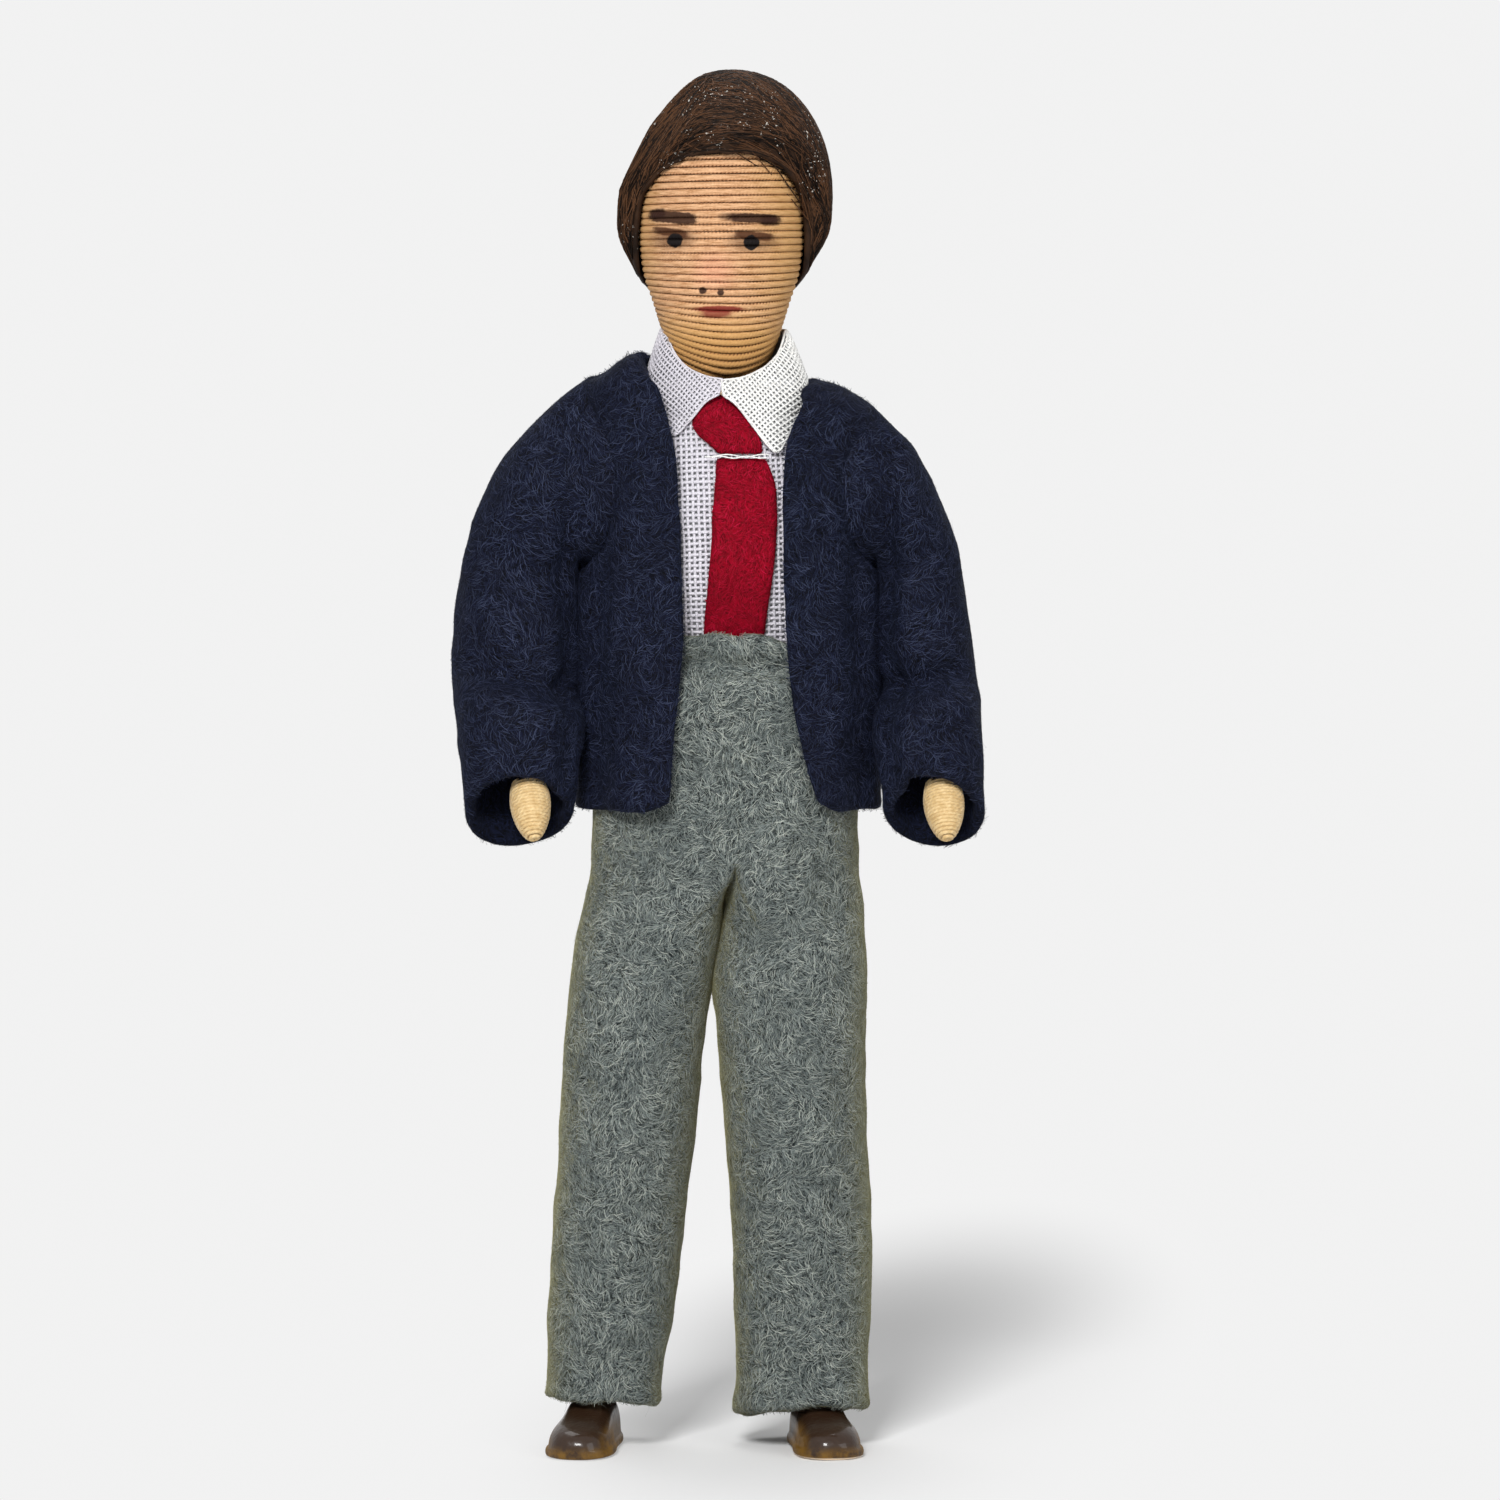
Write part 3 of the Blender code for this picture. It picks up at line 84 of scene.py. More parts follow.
class Side(Enum):
    """The doll's own left and right."""

    LEFT = 1
    RIGHT = -1

    @property
    def label(self) -> str:
        """The word that ends a piece's name."""
        return self.name.lower()


SHOULDERS = {Side.LEFT: Vector((19.5, -0.3, 98.0)), Side.RIGHT: Vector((-17.3, -0.3, 98.0))}
ELBOWS = {Side.LEFT: Vector((21.7, 0.6, 81.0)), Side.RIGHT: Vector((-20.5, 0.6, 81.0))}
WRISTS = {Side.LEFT: Vector((22.6, -6.8, 68.4)), Side.RIGHT: Vector((-19.1, -6.8, 68.4))}
HIPS = {Side.LEFT: Vector((7.8, -0.3, 61.0)), Side.RIGHT: Vector((-6.4, -0.3, 61.0))}
KNEES = {Side.LEFT: Vector((7.9, -0.5, 33.2)), Side.RIGHT: Vector((-9.2, -0.5, 33.2))}
ANKLES = {Side.LEFT: Vector((9.4, 0.6, 6.8)), Side.RIGHT: Vector((-12.1, 0.6, 6.8))}


# Plane maths

def blunt(value: float, power: float) -> float:
    """A sine or cosine for a section that is squarer than an ellipse."""
    return copysign(abs(value) ** (2 / power), value)


def smooth(value: float, low: float, high: float) -> float:
    """0 below low, 1 above high and an even turn between them."""
    share = max(0.0, min(1.0, (value - low) / (high - low)))
    return share * share * (3 - 2 * share)


def spread(start: float, end: float, count: int) -> list[float]:
    """Evenly spaced values with both ends."""
    return [start + (end - start) * step / (count - 1) for step in range(count)]


def round_angles(count: int) -> list[float]:
    """Evenly spaced angles all the way round, from 0."""
    return [2 * pi * step / count for step in range(count)]


def hump(value: float, middle: float, width: float) -> float:
    """1 at the middle, falling off smoothly to both sides."""
    return exp(-((value - middle) / width) ** 2)


def mean(points: Sequence[Vector]) -> Vector:
    """The middle of some points."""
    return sum(points, Vector()) / len(points)


def section(middle: Pair, half: Pair, angle: float, height: float,
            power: float = BODY_POWER) -> Vector:
    """A point of a blunt section; angle 0 is its front and a quarter turn the doll's left."""
    return Vector((middle[0] + half[0] * blunt(sin(angle), power),
                   middle[1] - half[1] * blunt(cos(angle), power), height))


def curve(share: float, start: object, leave: object, end: object, reach: object) -> object:
    """A value part of the way from start to end, with the slopes it leaves and arrives by."""
    square, cube = share ** 2, share ** 3
    return (start * (2 * cube - 3 * square + 1) + leave * (cube - 2 * square + share)
            + end * (3 * square - 2 * cube) + reach * (cube - square))


def read(rows: Rows, at: float) -> tuple[float, ...]:
    """Reads a table on a smooth curve through its rows.

    Args:
        rows: (place, values...) in rising order of place.
        at: the place to read.

    Returns:
        The values there, held at the ends of the table.
    """
    places = [row[0] for row in rows]
    if at <= places[0]:
        return tuple(rows[0][1:])
    if at >= places[-1]:
        return tuple(rows[-1][1:])
    low = bisect.bisect_right(places, at) - 1
    high = low + 1
    before, after = max(low - 1, 0), min(high + 1, len(rows) - 1)
    span = places[high] - places[low]
    found = []
    for p, a, b, n in zip(*(rows[index][1:] for index in (before, low, high, after))):
        leave = (b - p) / (places[high] - places[before]) * span
        reach = (n - a) / (places[after] - places[low]) * span
        found.append(curve((at - places[low]) / span, a, leave, b, reach))
    return tuple(found)


def between_rings(rings: Grid, count: int, closed: bool = False) -> Grid:
    """Fills in rings on smooth curves through a few of them.

    Args:
        rings: rings of equally many points.
        count: how many rings are wanted.
        closed: whether the last ring leads back to the first.

    Returns:
        The rings; an open run keeps its first and last.
    """
    many = len(rings)
    places = [many * step / count for step in range(count)] if closed else spread(0, many - 1, count)
    found = []
    for place in places:
        low = int(place) if closed else min(int(place), many - 2)
        share = place - low
        near = [(low + step) % many if closed else max(0, min(many - 1, low + step))
                for step in (-1, 0, 1, 2)]
        found.append([curve(share, a, (b - p) / 2, b, (n - a) / 2)
                      for p, a, b, n in zip(*(rings[index] for index in near))])
    return found


def finer(rows: Grid, closed: bool, cell: float = 0.8) -> Grid:
    """Fills in a grid both ways until its cells are about as wide as the one asked for."""
    across, down = (size / MM / cell for size in flat_size(rows, closed))
    tall = between_rings(rows, max(3, round(down) + 1))
    wide = between_rings(list(zip(*tall)), max(3, round(across) + (0 if closed else 1)), closed)
    return [list(row) for row in zip(*wide)]


def flat_size(rows: Grid, closed: bool) -> Pair:
    """The width and length, in metres, that a piece of cloth was cut to.

    Args:
        rows: the cloth's grid.
        closed: whether its rows run all the way round.

    Returns:
        The mean length of its rows and of its columns.
    """
    across = [sum((b - a).length for a, b in zip(row, list(row[1:]) + (list(row[:1]) if closed else [])))
              for row in rows]
    down = [sum((b[i] - a[i]).length for a, b in zip(rows, rows[1:])) for i in range(len(rows[0]))]
    return sum(across) / len(across) * MM, sum(down) / len(down) * MM


# Carrying, naming and declaring

@dataclass(frozen=True)
class Carry:
    """The body a piece is on, or the two joined bodies and the span that a piece between them lies over."""

    body: str
    bends_to: str = ""
    start: Triple = (0.0, 0.0, 0.0)
    end: Triple = (0.0, 0.0, 0.0)

    def apply(self, piece: Object) -> None:
        """Puts the piece on its body; a piece between two bodies only has its transform baked."""
        if self.bends_to:
            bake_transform(piece)
        else:
            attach(piece, self.body)


def place(piece: Object, carry: Carry, slot: str, replaced: Sequence[str] = ()) -> None:
    """Carries a finished piece and hides the solids that it stands for."""
    carry.apply(piece)
    if replaced:
        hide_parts(*replaced)
    LOG.info("%s: %d faces", piece.name, len(piece.data.polygons))


# Materials

def operator(name: str, swapped: bool = False) -> Callable[..., "Signal"]:
    """A method of a signal that adds one Math node."""
    def run(self: "Signal", other: "Signal | float" = 0.0) -> "Signal":
        """The node's output."""
        pair = (other, self) if swapped else (self, other)
        return self.graph.node("ShaderNodeMath", {"operation": name}, dict(enumerate(pair)))
    return run


class Signal:
    """A node's output, with arithmetic that adds Math nodes."""

    def __init__(self, graph: "Graph", socket: NodeSocket) -> None:
        self.graph = graph
        self.socket = socket

    __add__ = __radd__ = operator("ADD")
    __sub__ = operator("SUBTRACT")
    __rsub__ = operator("SUBTRACT", swapped=True)
    __mul__ = __rmul__ = operator("MULTIPLY")
    __truediv__ = operator("DIVIDE")
    __pow__ = operator("POWER")
    larger = operator("MAXIMUM")
    sine = operator("SINE")

    def step(self, low: float, high: float) -> "Signal":
        """0 at low, 1 at high, with an even turn between; low may be the higher number."""
        if low > high:
            return 1 - self.step(high, low)
        return self.graph.node("ShaderNodeMapRange", {"interpolation_type": "SMOOTHSTEP"},
                               {0: self, 1: low, 2: high})

    def beside(self, output: int | str) -> "Signal":
        """Another output of the same node."""
        return Signal(self.graph, self.socket.node.outputs[output])


class Graph:
    """A node tree of a material, of the world or of geometry."""

    def __init__(self, tree: NodeTree) -> None:
        self.tree = tree

    def node(self, kind: str, settings: dict[str, object] | None = None,
             inputs: dict[int | str, object] | None = None, output: int | str = 0) -> Signal:
        """Adds any node.

        Args:
            kind: the node's type.
            settings: its properties, set first.
            inputs: values or signals for its sockets.
            output: which output is wanted.

        Returns:
            That output.
        """
        made = self.tree.nodes.new(kind)
        for name, value in (settings or {}).items():
            setattr(made, name, value)
        for name, value in (inputs or {}).items():
            self.feed(made.inputs[name], value)
        return Signal(self, made.outputs[output])

    def feed(self, socket: NodeSocket, value: object) -> None:
        """Links a signal to a socket, or sets its value."""
        if isinstance(value, Signal):
            self.tree.links.new(value.socket, socket)
        elif isinstance(value, tuple) and len(value) == 3 and len(socket.default_value) == 4:
            socket.default_value = (*value, 1.0)
        else:
            socket.default_value = value

    def ending(self, kind: str) -> NodeSocket:
        """The surface input of the tree's output node."""
        return next(node for node in self.tree.nodes if node.type == kind).inputs["Surface"]


class Shader(Graph):
    """Builds one material."""

    def __init__(self, name: str) -> None:
        self.material = bpy.data.materials.new(name)
        self.material.use_nodes = True
        super().__init__(self.material.node_tree)
        self.surface = self.tree.nodes["Principled BSDF"]
        self._place: Signal | None = None

    def place(self) -> Signal:
        """The point on the piece, in millimetres."""
        if self._place is None:
            point = self.node("ShaderNodeTexCoord", output="Object")
            self._place = self.node("ShaderNodeVectorMath", {"operation": "SCALE"},
                                    {0: point, "Scale": 1 / MM})
        return self._place

    def axes(self) -> list[Signal]:
        """The point's x, y and z, in millimetres."""
        split = self.node("ShaderNodeSeparateXYZ", inputs={0: self.place()})
        return [split.beside(axis) for axis in range(3)]

    def stretched(self, scale: Triple, at: Signal | None = None) -> Signal:
        """A point with each axis scaled, for a grain that runs one way."""
        return self.node("ShaderNodeVectorMath", {"operation": "MULTIPLY"},
                         {0: at or self.place(), 1: scale})

    def grain(self, scale: float, detail: float = 3.0, rough: float = 0.6,
              at: Signal | None = None) -> Signal:
        """Noise around 0.5; scale counts its features in a millimetre."""
        return self.node("ShaderNodeTexNoise", None, {"Vector": at or self.place(), "Scale": scale,
                                                      "Detail": detail, "Roughness": rough})

    def strands(self, angle: float, at: Signal) -> Signal:
        """Noise drawn out into strands that lean by an angle from upright."""
        turned = self.node("ShaderNodeVectorRotate", {"rotation_type": "AXIS_ANGLE"},
                           {"Vector": at, "Axis": (0.25, 1.0, 0.0), "Angle": angle})
        return self.grain(1.0, 2.0, 0.55, self.stretched((5.5, 5.5, 0.9), turned))

    def stored(self, name: str, output: str = "Fac") -> Signal:
        """A value that the mesh carries under a name."""
        return self.node("ShaderNodeAttribute", {"attribute_name": name}, output=output)

    def twist(self, plies: int, lay: float) -> Signal:
        """The plies of a thread: 1 on a ply and 0 between two; lay is one turn, in millimetres."""
        around = self.node("ShaderNodeSeparateXYZ", inputs={0: self.stored("ring", "Vector")})
        angle = self.node("ShaderNodeMath", {"operation": "ARCTAN2"},
                          {0: around.beside("Y"), 1: around.beside("X")})
        turns = self.stored("along") * (2 * pi / (lay * MM))
        return ((angle + turns) * plies).sine() * 0.5 + 0.5

    def layers(self, colour: object, *coats: tuple[Signal, object]) -> Signal:
        """A colour with others laid over it in turn, each as strongly as its signal."""
        for strength, coat in coats:
            colour = self.node("ShaderNodeMix", {"data_type": "RGBA"},
                               {"Factor": strength, 6: colour, 7: coat}, 2)
        return colour

    def finish(self, colour: object, roughness: object, height: Signal | None = None,
               depth: float = 0.1, **fixed: object) -> Material:
        """Connects the surface.

        Args:
            colour: the base colour.
            roughness: the roughness.
            height: what the bump follows, from 0 to 1.
            depth: how deep the bump is, in millimetres.
            fixed: other sockets of the surface, with underscores for spaces.

        Returns:
            The material.
        """
        self.feed(self.surface.inputs["Base Color"], colour)
        self.feed(self.surface.inputs["Roughness"], roughness)
        for name, value in fixed.items():
            self.feed(self.surface.inputs[name.replace("_", " ")], value)
        if height is not None:
            bump = self.node("ShaderNodeBump", None, {"Distance": depth * MM, "Height": height})
            self.feed(self.surface.inputs["Normal"], bump)
        return self.material


@dataclass(frozen=True)
class FeltFinish:
    """Pressed wool: a matted ground and the fibres that stand out of it."""

    name: str
    ground: Colour
    # the darkest tone: painted shade in the pits of the matted ground, and the tone of the darkest loose
    # fibres
    deep: Colour
    fibre: Colour
    fibre_light: Colour
    sheen: Colour
    sheen_weight: float
    # how strongly a painted yellow rim light lies on the outer sides of the legs
    flank: float = 0.0

    def finished(self, shader: Shader, colour: Signal, roughness: float, shine: float,
                 height: Signal | None = None) -> Material:
        """Adds the sheen, and paints a yellow rim light on the outer sides of the legs.

        Args:
            shader: the material's nodes.
            colour: its colour so far.
            roughness: its roughness.
            shine: its specular level.
            height: what its bump follows.

        Returns:
            The material.
        """
        if self.flank:
            x = shader.axes()[0]
            # painted rim light: yellow on the outer sides of the legs, stronger on the doll's left
            outer = x.step(12.5, 17.0).larger(x.step(-14.0, -18.5) * 0.6)
            colour = shader.layers(colour, (outer * self.flank, (0.33, 0.31, 0.12)))
        return shader.finish(colour, roughness, height, 0.25, Sheen_Weight=self.sheen_weight,
                             Sheen_Roughness=0.38, Sheen_Tint=self.sheen, Specular_IOR_Level=shine)

    @cache
    def cloth(self) -> Material:
        """The matted ground."""
        shader = Shader(self.name + " felt")
        swirl = shader.node("ShaderNodeTexNoise", None,
                            {"Vector": shader.place(), "Scale": 0.45, "Detail": 1.0}, "Color")
        moved = shader.node("ShaderNodeVectorMath", {"operation": "MULTIPLY_ADD"},
                            {0: swirl, 1: (3.2, 3.2, 3.2), 2: shader.place()})
        mat = shader.strands(0.35, moved)
        for angle in (-0.55, 1.1):
            mat = mat.larger(shader.strands(angle, moved))
        # the low points of the mat keep the deep tone as painted shade; the higher strands take the felt's
        # own fibre tones
        colour = shader.layers(self.deep, (mat.step(0.48, 0.62), self.ground),
                               (mat.step(0.60, 0.76), self.fibre),
                               (mat.step(0.70, 0.86) * 0.7, self.fibre_light),
                               (shader.grain(0.22, 3.0).step(0.45, 0.8) * 0.25, self.deep))
        return self.finished(shader, colour, 0.95, 0.1, mat)

    @cache
    def nap(self) -> Material:
        """The loose fibres, each of its own tone."""
        shader = Shader(self.name + " fibres")
        tone = shader.stored("tone")
        colour = shader.layers(self.deep, (tone.step(0.1, 0.5), self.fibre),
                               (tone.step(0.45, 1.1), self.fibre_light),
                               (shader.grain(0.22, 2.0).step(0.4, 0.66) * 0.4, self.ground))
        return self.finished(shader, colour, 0.7, 0.12)


@dataclass(frozen=True)
class ThreadFinish:
    """Wound or woven thread."""

    name: str
    light: Colour
    dark: Colour
    roughness: float = 0.7

    @cache
    def look(self) -> Material:
        """Thread of two plies, with painted shade between them."""
        shader = Shader(self.name)
        twist = shader.twist(2, 1.1)
        soft = shader.grain(1.6, 4.0, 0.7)
        # the light tone is weaker between the plies: painted shade in the grooves
        colour = shader.layers(self.dark, (soft.step(0.3, 0.7) * (twist * 0.35 + 0.65), self.light))
        return shader.finish(colour, self.roughness, twist * 0.6 + soft * 0.6, 0.05, Sheen_Weight=0.2,
                             Sheen_Roughness=0.4, Specular_IOR_Level=0.3)


@dataclass(frozen=True)
class PlainFinish:
    """A quiet finish for wadding and wire inside the doll."""

    name: str
    colour: Colour
    worn: Colour
    roughness: float
    metallic: float = 0.0

    @cache
    def look(self) -> Material:
        """Mottled between its two colours."""
        shader = Shader(self.name)
        mottle = shader.grain(0.8, 4.0, 0.65)
        return shader.finish(shader.layers(self.colour, (mottle.step(0.35, 0.7), self.worn)),
                             mottle * 0.2 + (self.roughness - 0.1), mottle, 0.08,
                             Metallic=self.metallic)


@dataclass(frozen=True)
class Dab:
    """A dab of paint on the face: its middle, half size, colour and edge."""

    centre: Pair
    half: Pair
    colour: Colour
    strength: float = 0.95
    edge: float = 0.4
    tilt: float = 0.0
    bar: bool = False


@dataclass(frozen=True)
class FaceFinish:
    """The head's thread with its features painted on it."""

    light: Colour = (0.68, 0.405, 0.225)
    # dark is the thread's darker streak tone and is laid again under the chin as painted shade; the golden
    # colour is painted shade on the sides and the lower face
    dark: Colour = (0.34, 0.155, 0.06)
    golden: Colour = (0.56, 0.325, 0.10)
    # the colour of painted shade in the grooves between turns of thread
    groove: Colour = (0.13, 0.05, 0.02)
    brown: Colour = (0.030, 0.011, 0.007)
    lid: Colour = (0.075, 0.028, 0.012)
    iris: Colour = (0.006, 0.004, 0.004)
    lip: Colour = (0.19, 0.022, 0.016)
    # the pinker colour of a painted highlight on the nose
    blush: Colour = (0.72, 0.32, 0.22)

    def dabs(self) -> list[Dab]:
        """The painted features and a painted highlight on the nose, the lowest layer first."""
        return [
            # painted highlight: a pinker patch over the nose
            Dab((-0.4, 119.6), (1.7, 1.6), self.blush, 0.35, 1.5),
            Dab((-4.45, 122.95), (2.1, 1.05), self.lid, 0.6, 1.0),
            Dab((-4.7, 123.55), (1.8, 0.40), self.lid, 0.95, 0.45, -0.16, True),
            Dab((3.55, 122.65), (2.35, 1.0), self.lid, 0.6, 1.0),
            Dab((3.6, 123.2), (2.0, 0.40), self.lid, 0.95, 0.45, -0.08, True),
            Dab((-4.3, 122.75), (0.78, 0.72), self.iris, 1.0, 0.15),
            Dab((3.4, 122.5), (0.80, 0.74), self.iris, 1.0, 0.15),
            Dab((-4.5, 125.05), (2.4, 0.60), self.brown, 0.95, 0.3, -0.08, True),
            Dab((-6.1, 125.45), (0.8, 0.48), self.brown, 0.9, 0.5, 0.12, True),
            Dab((3.7, 124.95), (2.6, 0.48), self.brown, 0.95, 0.35, -0.03, True),
            Dab((5.3, 124.7), (0.9, 0.5), self.brown, 0.85, 0.5, 0.0, True),
            Dab((1.1, 125.1), (1.0, 0.40), self.brown, 0.6, 0.8),
            Dab((-1.5, 117.7), (0.38, 0.34), self.brown, 0.97, 0.5),
            Dab((0.3, 117.5), (0.34, 0.30), self.brown, 0.95, 0.5),
            Dab((0.1, 115.85), (2.5, 0.32), self.lip, 0.95, 0.5, 0.0),
            Dab((-0.1, 115.4), (1.5, 0.46), self.lip, 0.85, 0.7, 0.03),
        ]

    def mask(self, shader: Shader, dab: Dab) -> Signal:
        """1 inside a dab, 0 outside, on the front of the head only."""
        x, y, z = shader.axes()
        power = 4 if dab.bar else 2
        across = ((x - dab.centre[0]) / dab.half[0]) ** power
        down = ((z - dab.centre[1] - (x - dab.centre[0]) * dab.tilt) / dab.half[1]) ** power
        away = (across + down) ** (1 / power) + (shader.grain(2.2, 3.0) - 0.5) * 0.5
        return away.step(1 + dab.edge / 2, 1 - dab.edge / 2) * y.step(-1.0, -2.0)

    @cache
    def look(self) -> Material:
        """Thread, painted shade on its sides, under its chin and in its grooves, a painted highlight on the
        nose, and the paint.
        """
        shader = Shader("Wound face thread")
        x, _, z = shader.axes()
        twist = shader.twist(3, 1.15)
        streak = shader.grain(1.0, 4.0, 0.7, shader.stretched((0.7, 0.7, 7.0)))
        patch = shader.grain(0.35, 3.0, 0.6)
        # painted shade: the golden colour on both sides of the head, a little stronger on the doll's left
        sides = x.step(1.0, 8.5) * 0.55 + x.step(-5.0, -8.2) * 0.5
        # groove: how far a point lies down between turns; the colour darkens there as painted shade, with
        # dark dotted lines between the plies in the middle of the face
        deep = shader.stored("groove")
        middle = x.step(8.0, 4.0) * x.step(-8.0, -4.5) * patch.step(0.36, 0.58)
        lines = twist.step(0.6, 0.2) * deep.step(0.05, 0.6) * (middle * 0.8 + 0.1)
        # the golden shade also covers the lower face, and the dark tone darkens the chin: painted shade
        colour = shader.layers(self.dark, (streak.step(0.25, 0.65), self.light),
                               (sides.larger(z.step(117.5, 111.0) * 0.9), self.golden),
                               (z.step(115.5, 110.5) * 0.5, self.dark), (lines, self.groove),
                               (deep.step(0.35, 0.95) * 0.42, self.groove),
                               *((self.mask(shader, dab) * dab.strength, dab.colour)
                                 for dab in self.dabs()))
        return shader.finish(colour, 0.6, streak * 0.6 + twist * 0.3, 0.08, Specular_IOR_Level=0.12)


@dataclass(frozen=True)
class HairFinish:
    """Glued brown fibre with a little shine."""

    dark: Colour = (0.006, 0.003, 0.0015)
    light: Colour = (0.094, 0.042, 0.019)
    # the pale colour of painted glints on the hair
    glue: Colour = (0.75, 0.72, 0.66)

    @cache
    def look(self) -> Material:
        """Strand-to-strand colour, and painted glints: pale flecks in patches."""
        shader = Shader("Brown hair fibre")
        tone, patch = shader.stored("tone"), shader.grain(0.35, 3.0, 0.6)
        strand = shader.grain(1.6, 3.0, 0.7)
        smooth_hair = tone.step(0.80, 0.92) * patch.step(0.40, 0.55)
        # painted glints: pale flecks in patches stand in for highlights on the strands
        glint_speck = shader.grain(3.6, 2.0, 0.5).step(0.655, 0.69) * shader.grain(0.25, 2.0).step(0.50, 0.60)
        colour = shader.layers(
            self.dark, ((tone * 1.3 + patch * 0.9 - 0.75).step(0.0, 1.0), self.light),
            (glint_speck * 0.8, self.glue))
        return shader.finish(colour, 0.6 - smooth_hair * 0.42, strand, 0.06, Specular_IOR_Level=0.12)


@dataclass(frozen=True)
class ShoeFinish:
    """Glossy brown paint over cast metal, worn through along the sole's edge."""

    paint: Colour = (0.030, 0.015, 0.008)
    edge: Colour = (0.19, 0.095, 0.010)
    metal: Colour = (0.80, 0.66, 0.50)

    @cache
    def look(self) -> Material:
        """Paint, a lighter amber brown on its lower edges and sides, and bare metal."""
        shader = Shader("Glossy brown shoe paint")
        x, y, z = shader.axes()
        flow = shader.grain(0.7, 3.0)
        # side: 1 on the shoe's lower sides, which take the amber colour and less gloss
        side = shader.stored("side")
        low = (z.step(1.6, 0.3) * flow.step(0.30, 0.62)).larger(side * flow.step(0.2, 0.6))
        worn = shader.grain(0.5, 2.0).step(0.60, 0.66).larger(x.step(6.0, 7.0) * y.step(-5.0, -6.0))
        bare = z.step(0.30, 0.16) * worn
        colour = shader.layers(self.paint, (low * 0.85, self.edge), (bare, self.metal))
        return shader.finish(colour, flow * 0.15 + 0.25 + side * 0.4, flow, 0.14, Metallic=bare,
                             Coat_Weight=0.4 - side * 0.34, Coat_Roughness=0.05,
                             Specular_IOR_Level=0.15)


NAVY = FeltFinish("Navy", (0.0045, 0.0062, 0.0168), (0.0006, 0.0008, 0.0019), (0.0088, 0.0125, 0.033),
                  (0.048, 0.060, 0.114), (0.25, 0.32, 0.60), 0.035)
CRIMSON = FeltFinish("Crimson", (0.235, 0.0006, 0.010), (0.10, 0.0003, 0.004), (0.29, 0.0006, 0.014),
                     (0.44, 0.003, 0.036), (1.0, 0.10, 0.20), 0.01)
GREY_GREEN = FeltFinish("Grey-green", (0.092, 0.110, 0.108), (0.010, 0.013, 0.015),
                        (0.182, 0.210, 0.202), (0.46, 0.49, 0.43), (0.95, 0.86, 0.36), 0.42, 0.20)
HAND_THREAD = ThreadFinish("Cream hand thread", (0.74, 0.56, 0.30), (0.54, 0.36, 0.155), 0.6)
SHIRT_THREAD = ThreadFinish("White shirt thread", (0.90, 0.90, 0.88), (0.74, 0.74, 0.72), 0.85)
# a darker, bluer copy of the shirt thread: painted shade on the shirt front and the collar leaf on the
# doll's right
SHADED_SHIRT_THREAD = ThreadFinish("Bluish shirt thread", (0.71, 0.69, 0.74), (0.58, 0.56, 0.61), 0.85)
BINDING_THREAD = ThreadFinish("Binding thread", (0.80, 0.63, 0.42), (0.55, 0.40, 0.24), 0.8)
WADDING = PlainFinish("Cotton wadding", (0.80, 0.77, 0.70), (0.66, 0.62, 0.54), 0.95)
SEAT_LINING = PlainFinish("Grey-green lining", (0.115, 0.135, 0.132), (0.065, 0.078, 0.078), 0.95)
# grey cloth under the open weaves: painted shade seen through the holes
SHIRT_HOLE_SHADE = PlainFinish("Shirt ground", (0.40, 0.41, 0.42), (0.52, 0.52, 0.53), 0.9)
IRON = PlainFinish("Soft iron wire", (0.42, 0.41, 0.39), (0.25, 0.23, 0.21), 0.45, 1.0)


# Meshes

def add_object(name: str, data: bpy.types.ID) -> Object:
    """Puts an object with its data into the scene."""
    made = bpy.data.objects.new(name, data)
    bpy.context.scene.collection.objects.link(made)
    return made


def new_piece(name: str, points: Sequence[Vector], faces: Sequence[Sequence[int]],
              material: Material | None = None,
              edges: Sequence[tuple[int, int]] = ()) -> Object:
    """Makes an object at the origin from points in millimetres."""
    data = bpy.data.meshes.new(name)
    data.from_pydata([tuple(point * MM) for point in points], list(edges), [tuple(f) for f in faces])
    if material is not None:
        data.materials.append(material)
    return add_object(name, data)


def apply_modifiers(piece: Object) -> Object:
    """Swaps a piece's mesh for what its modifiers make of it."""
    depsgraph = bpy.context.evaluated_depsgraph_get()
    made = bpy.data.meshes.new_from_object(piece.evaluated_get(depsgraph), depsgraph=depsgraph,
                                           preserve_all_data_layers=True)
    old = piece.data
    piece.modifiers.clear()
    piece.data = made
    made.name = piece.name
    bpy.data.meshes.remove(old)
    for polygon in made.polygons:
        polygon.use_smooth = True
    return piece


def subdivide(piece: Object, levels: int) -> Object:
    """Swaps a piece's mesh for its subdivision surface."""
    if levels:
        modifier = piece.modifiers.new("Smooth", "SUBSURF")
        modifier.levels = modifier.render_levels = levels
    return apply_modifiers(piece)


def thicken(piece: Object, thickness: float) -> Modifier:
    """Adds a thickness in millimetres behind a piece's face."""
    modifier = piece.modifiers.new("Thickness", "SOLIDIFY")
    modifier.thickness = thickness * MM
    modifier.offset = -1
    return modifier


def grid_faces(rows: int, columns: int, closed: bool) -> list[tuple[int, int, int, int]]:
    """Faces of a grid whose rows go down and whose columns turn from the front to the doll's left."""
    faces = []
    for row in range(rows - 1):
        for column in range(columns if closed else columns - 1):
            after = (column + 1) % columns
            top, low = row * columns, (row + 1) * columns
            faces.append((top + column, low + column, low + after, top + after))
    return faces


def grid_piece(name: str, rows: Grid, closed: bool, material: Material) -> Object:
    """Makes an object from a grid of points."""
    return new_piece(name, [point for row in rows for point in row],
                     grid_faces(len(rows), len(rows[0]), closed), material)


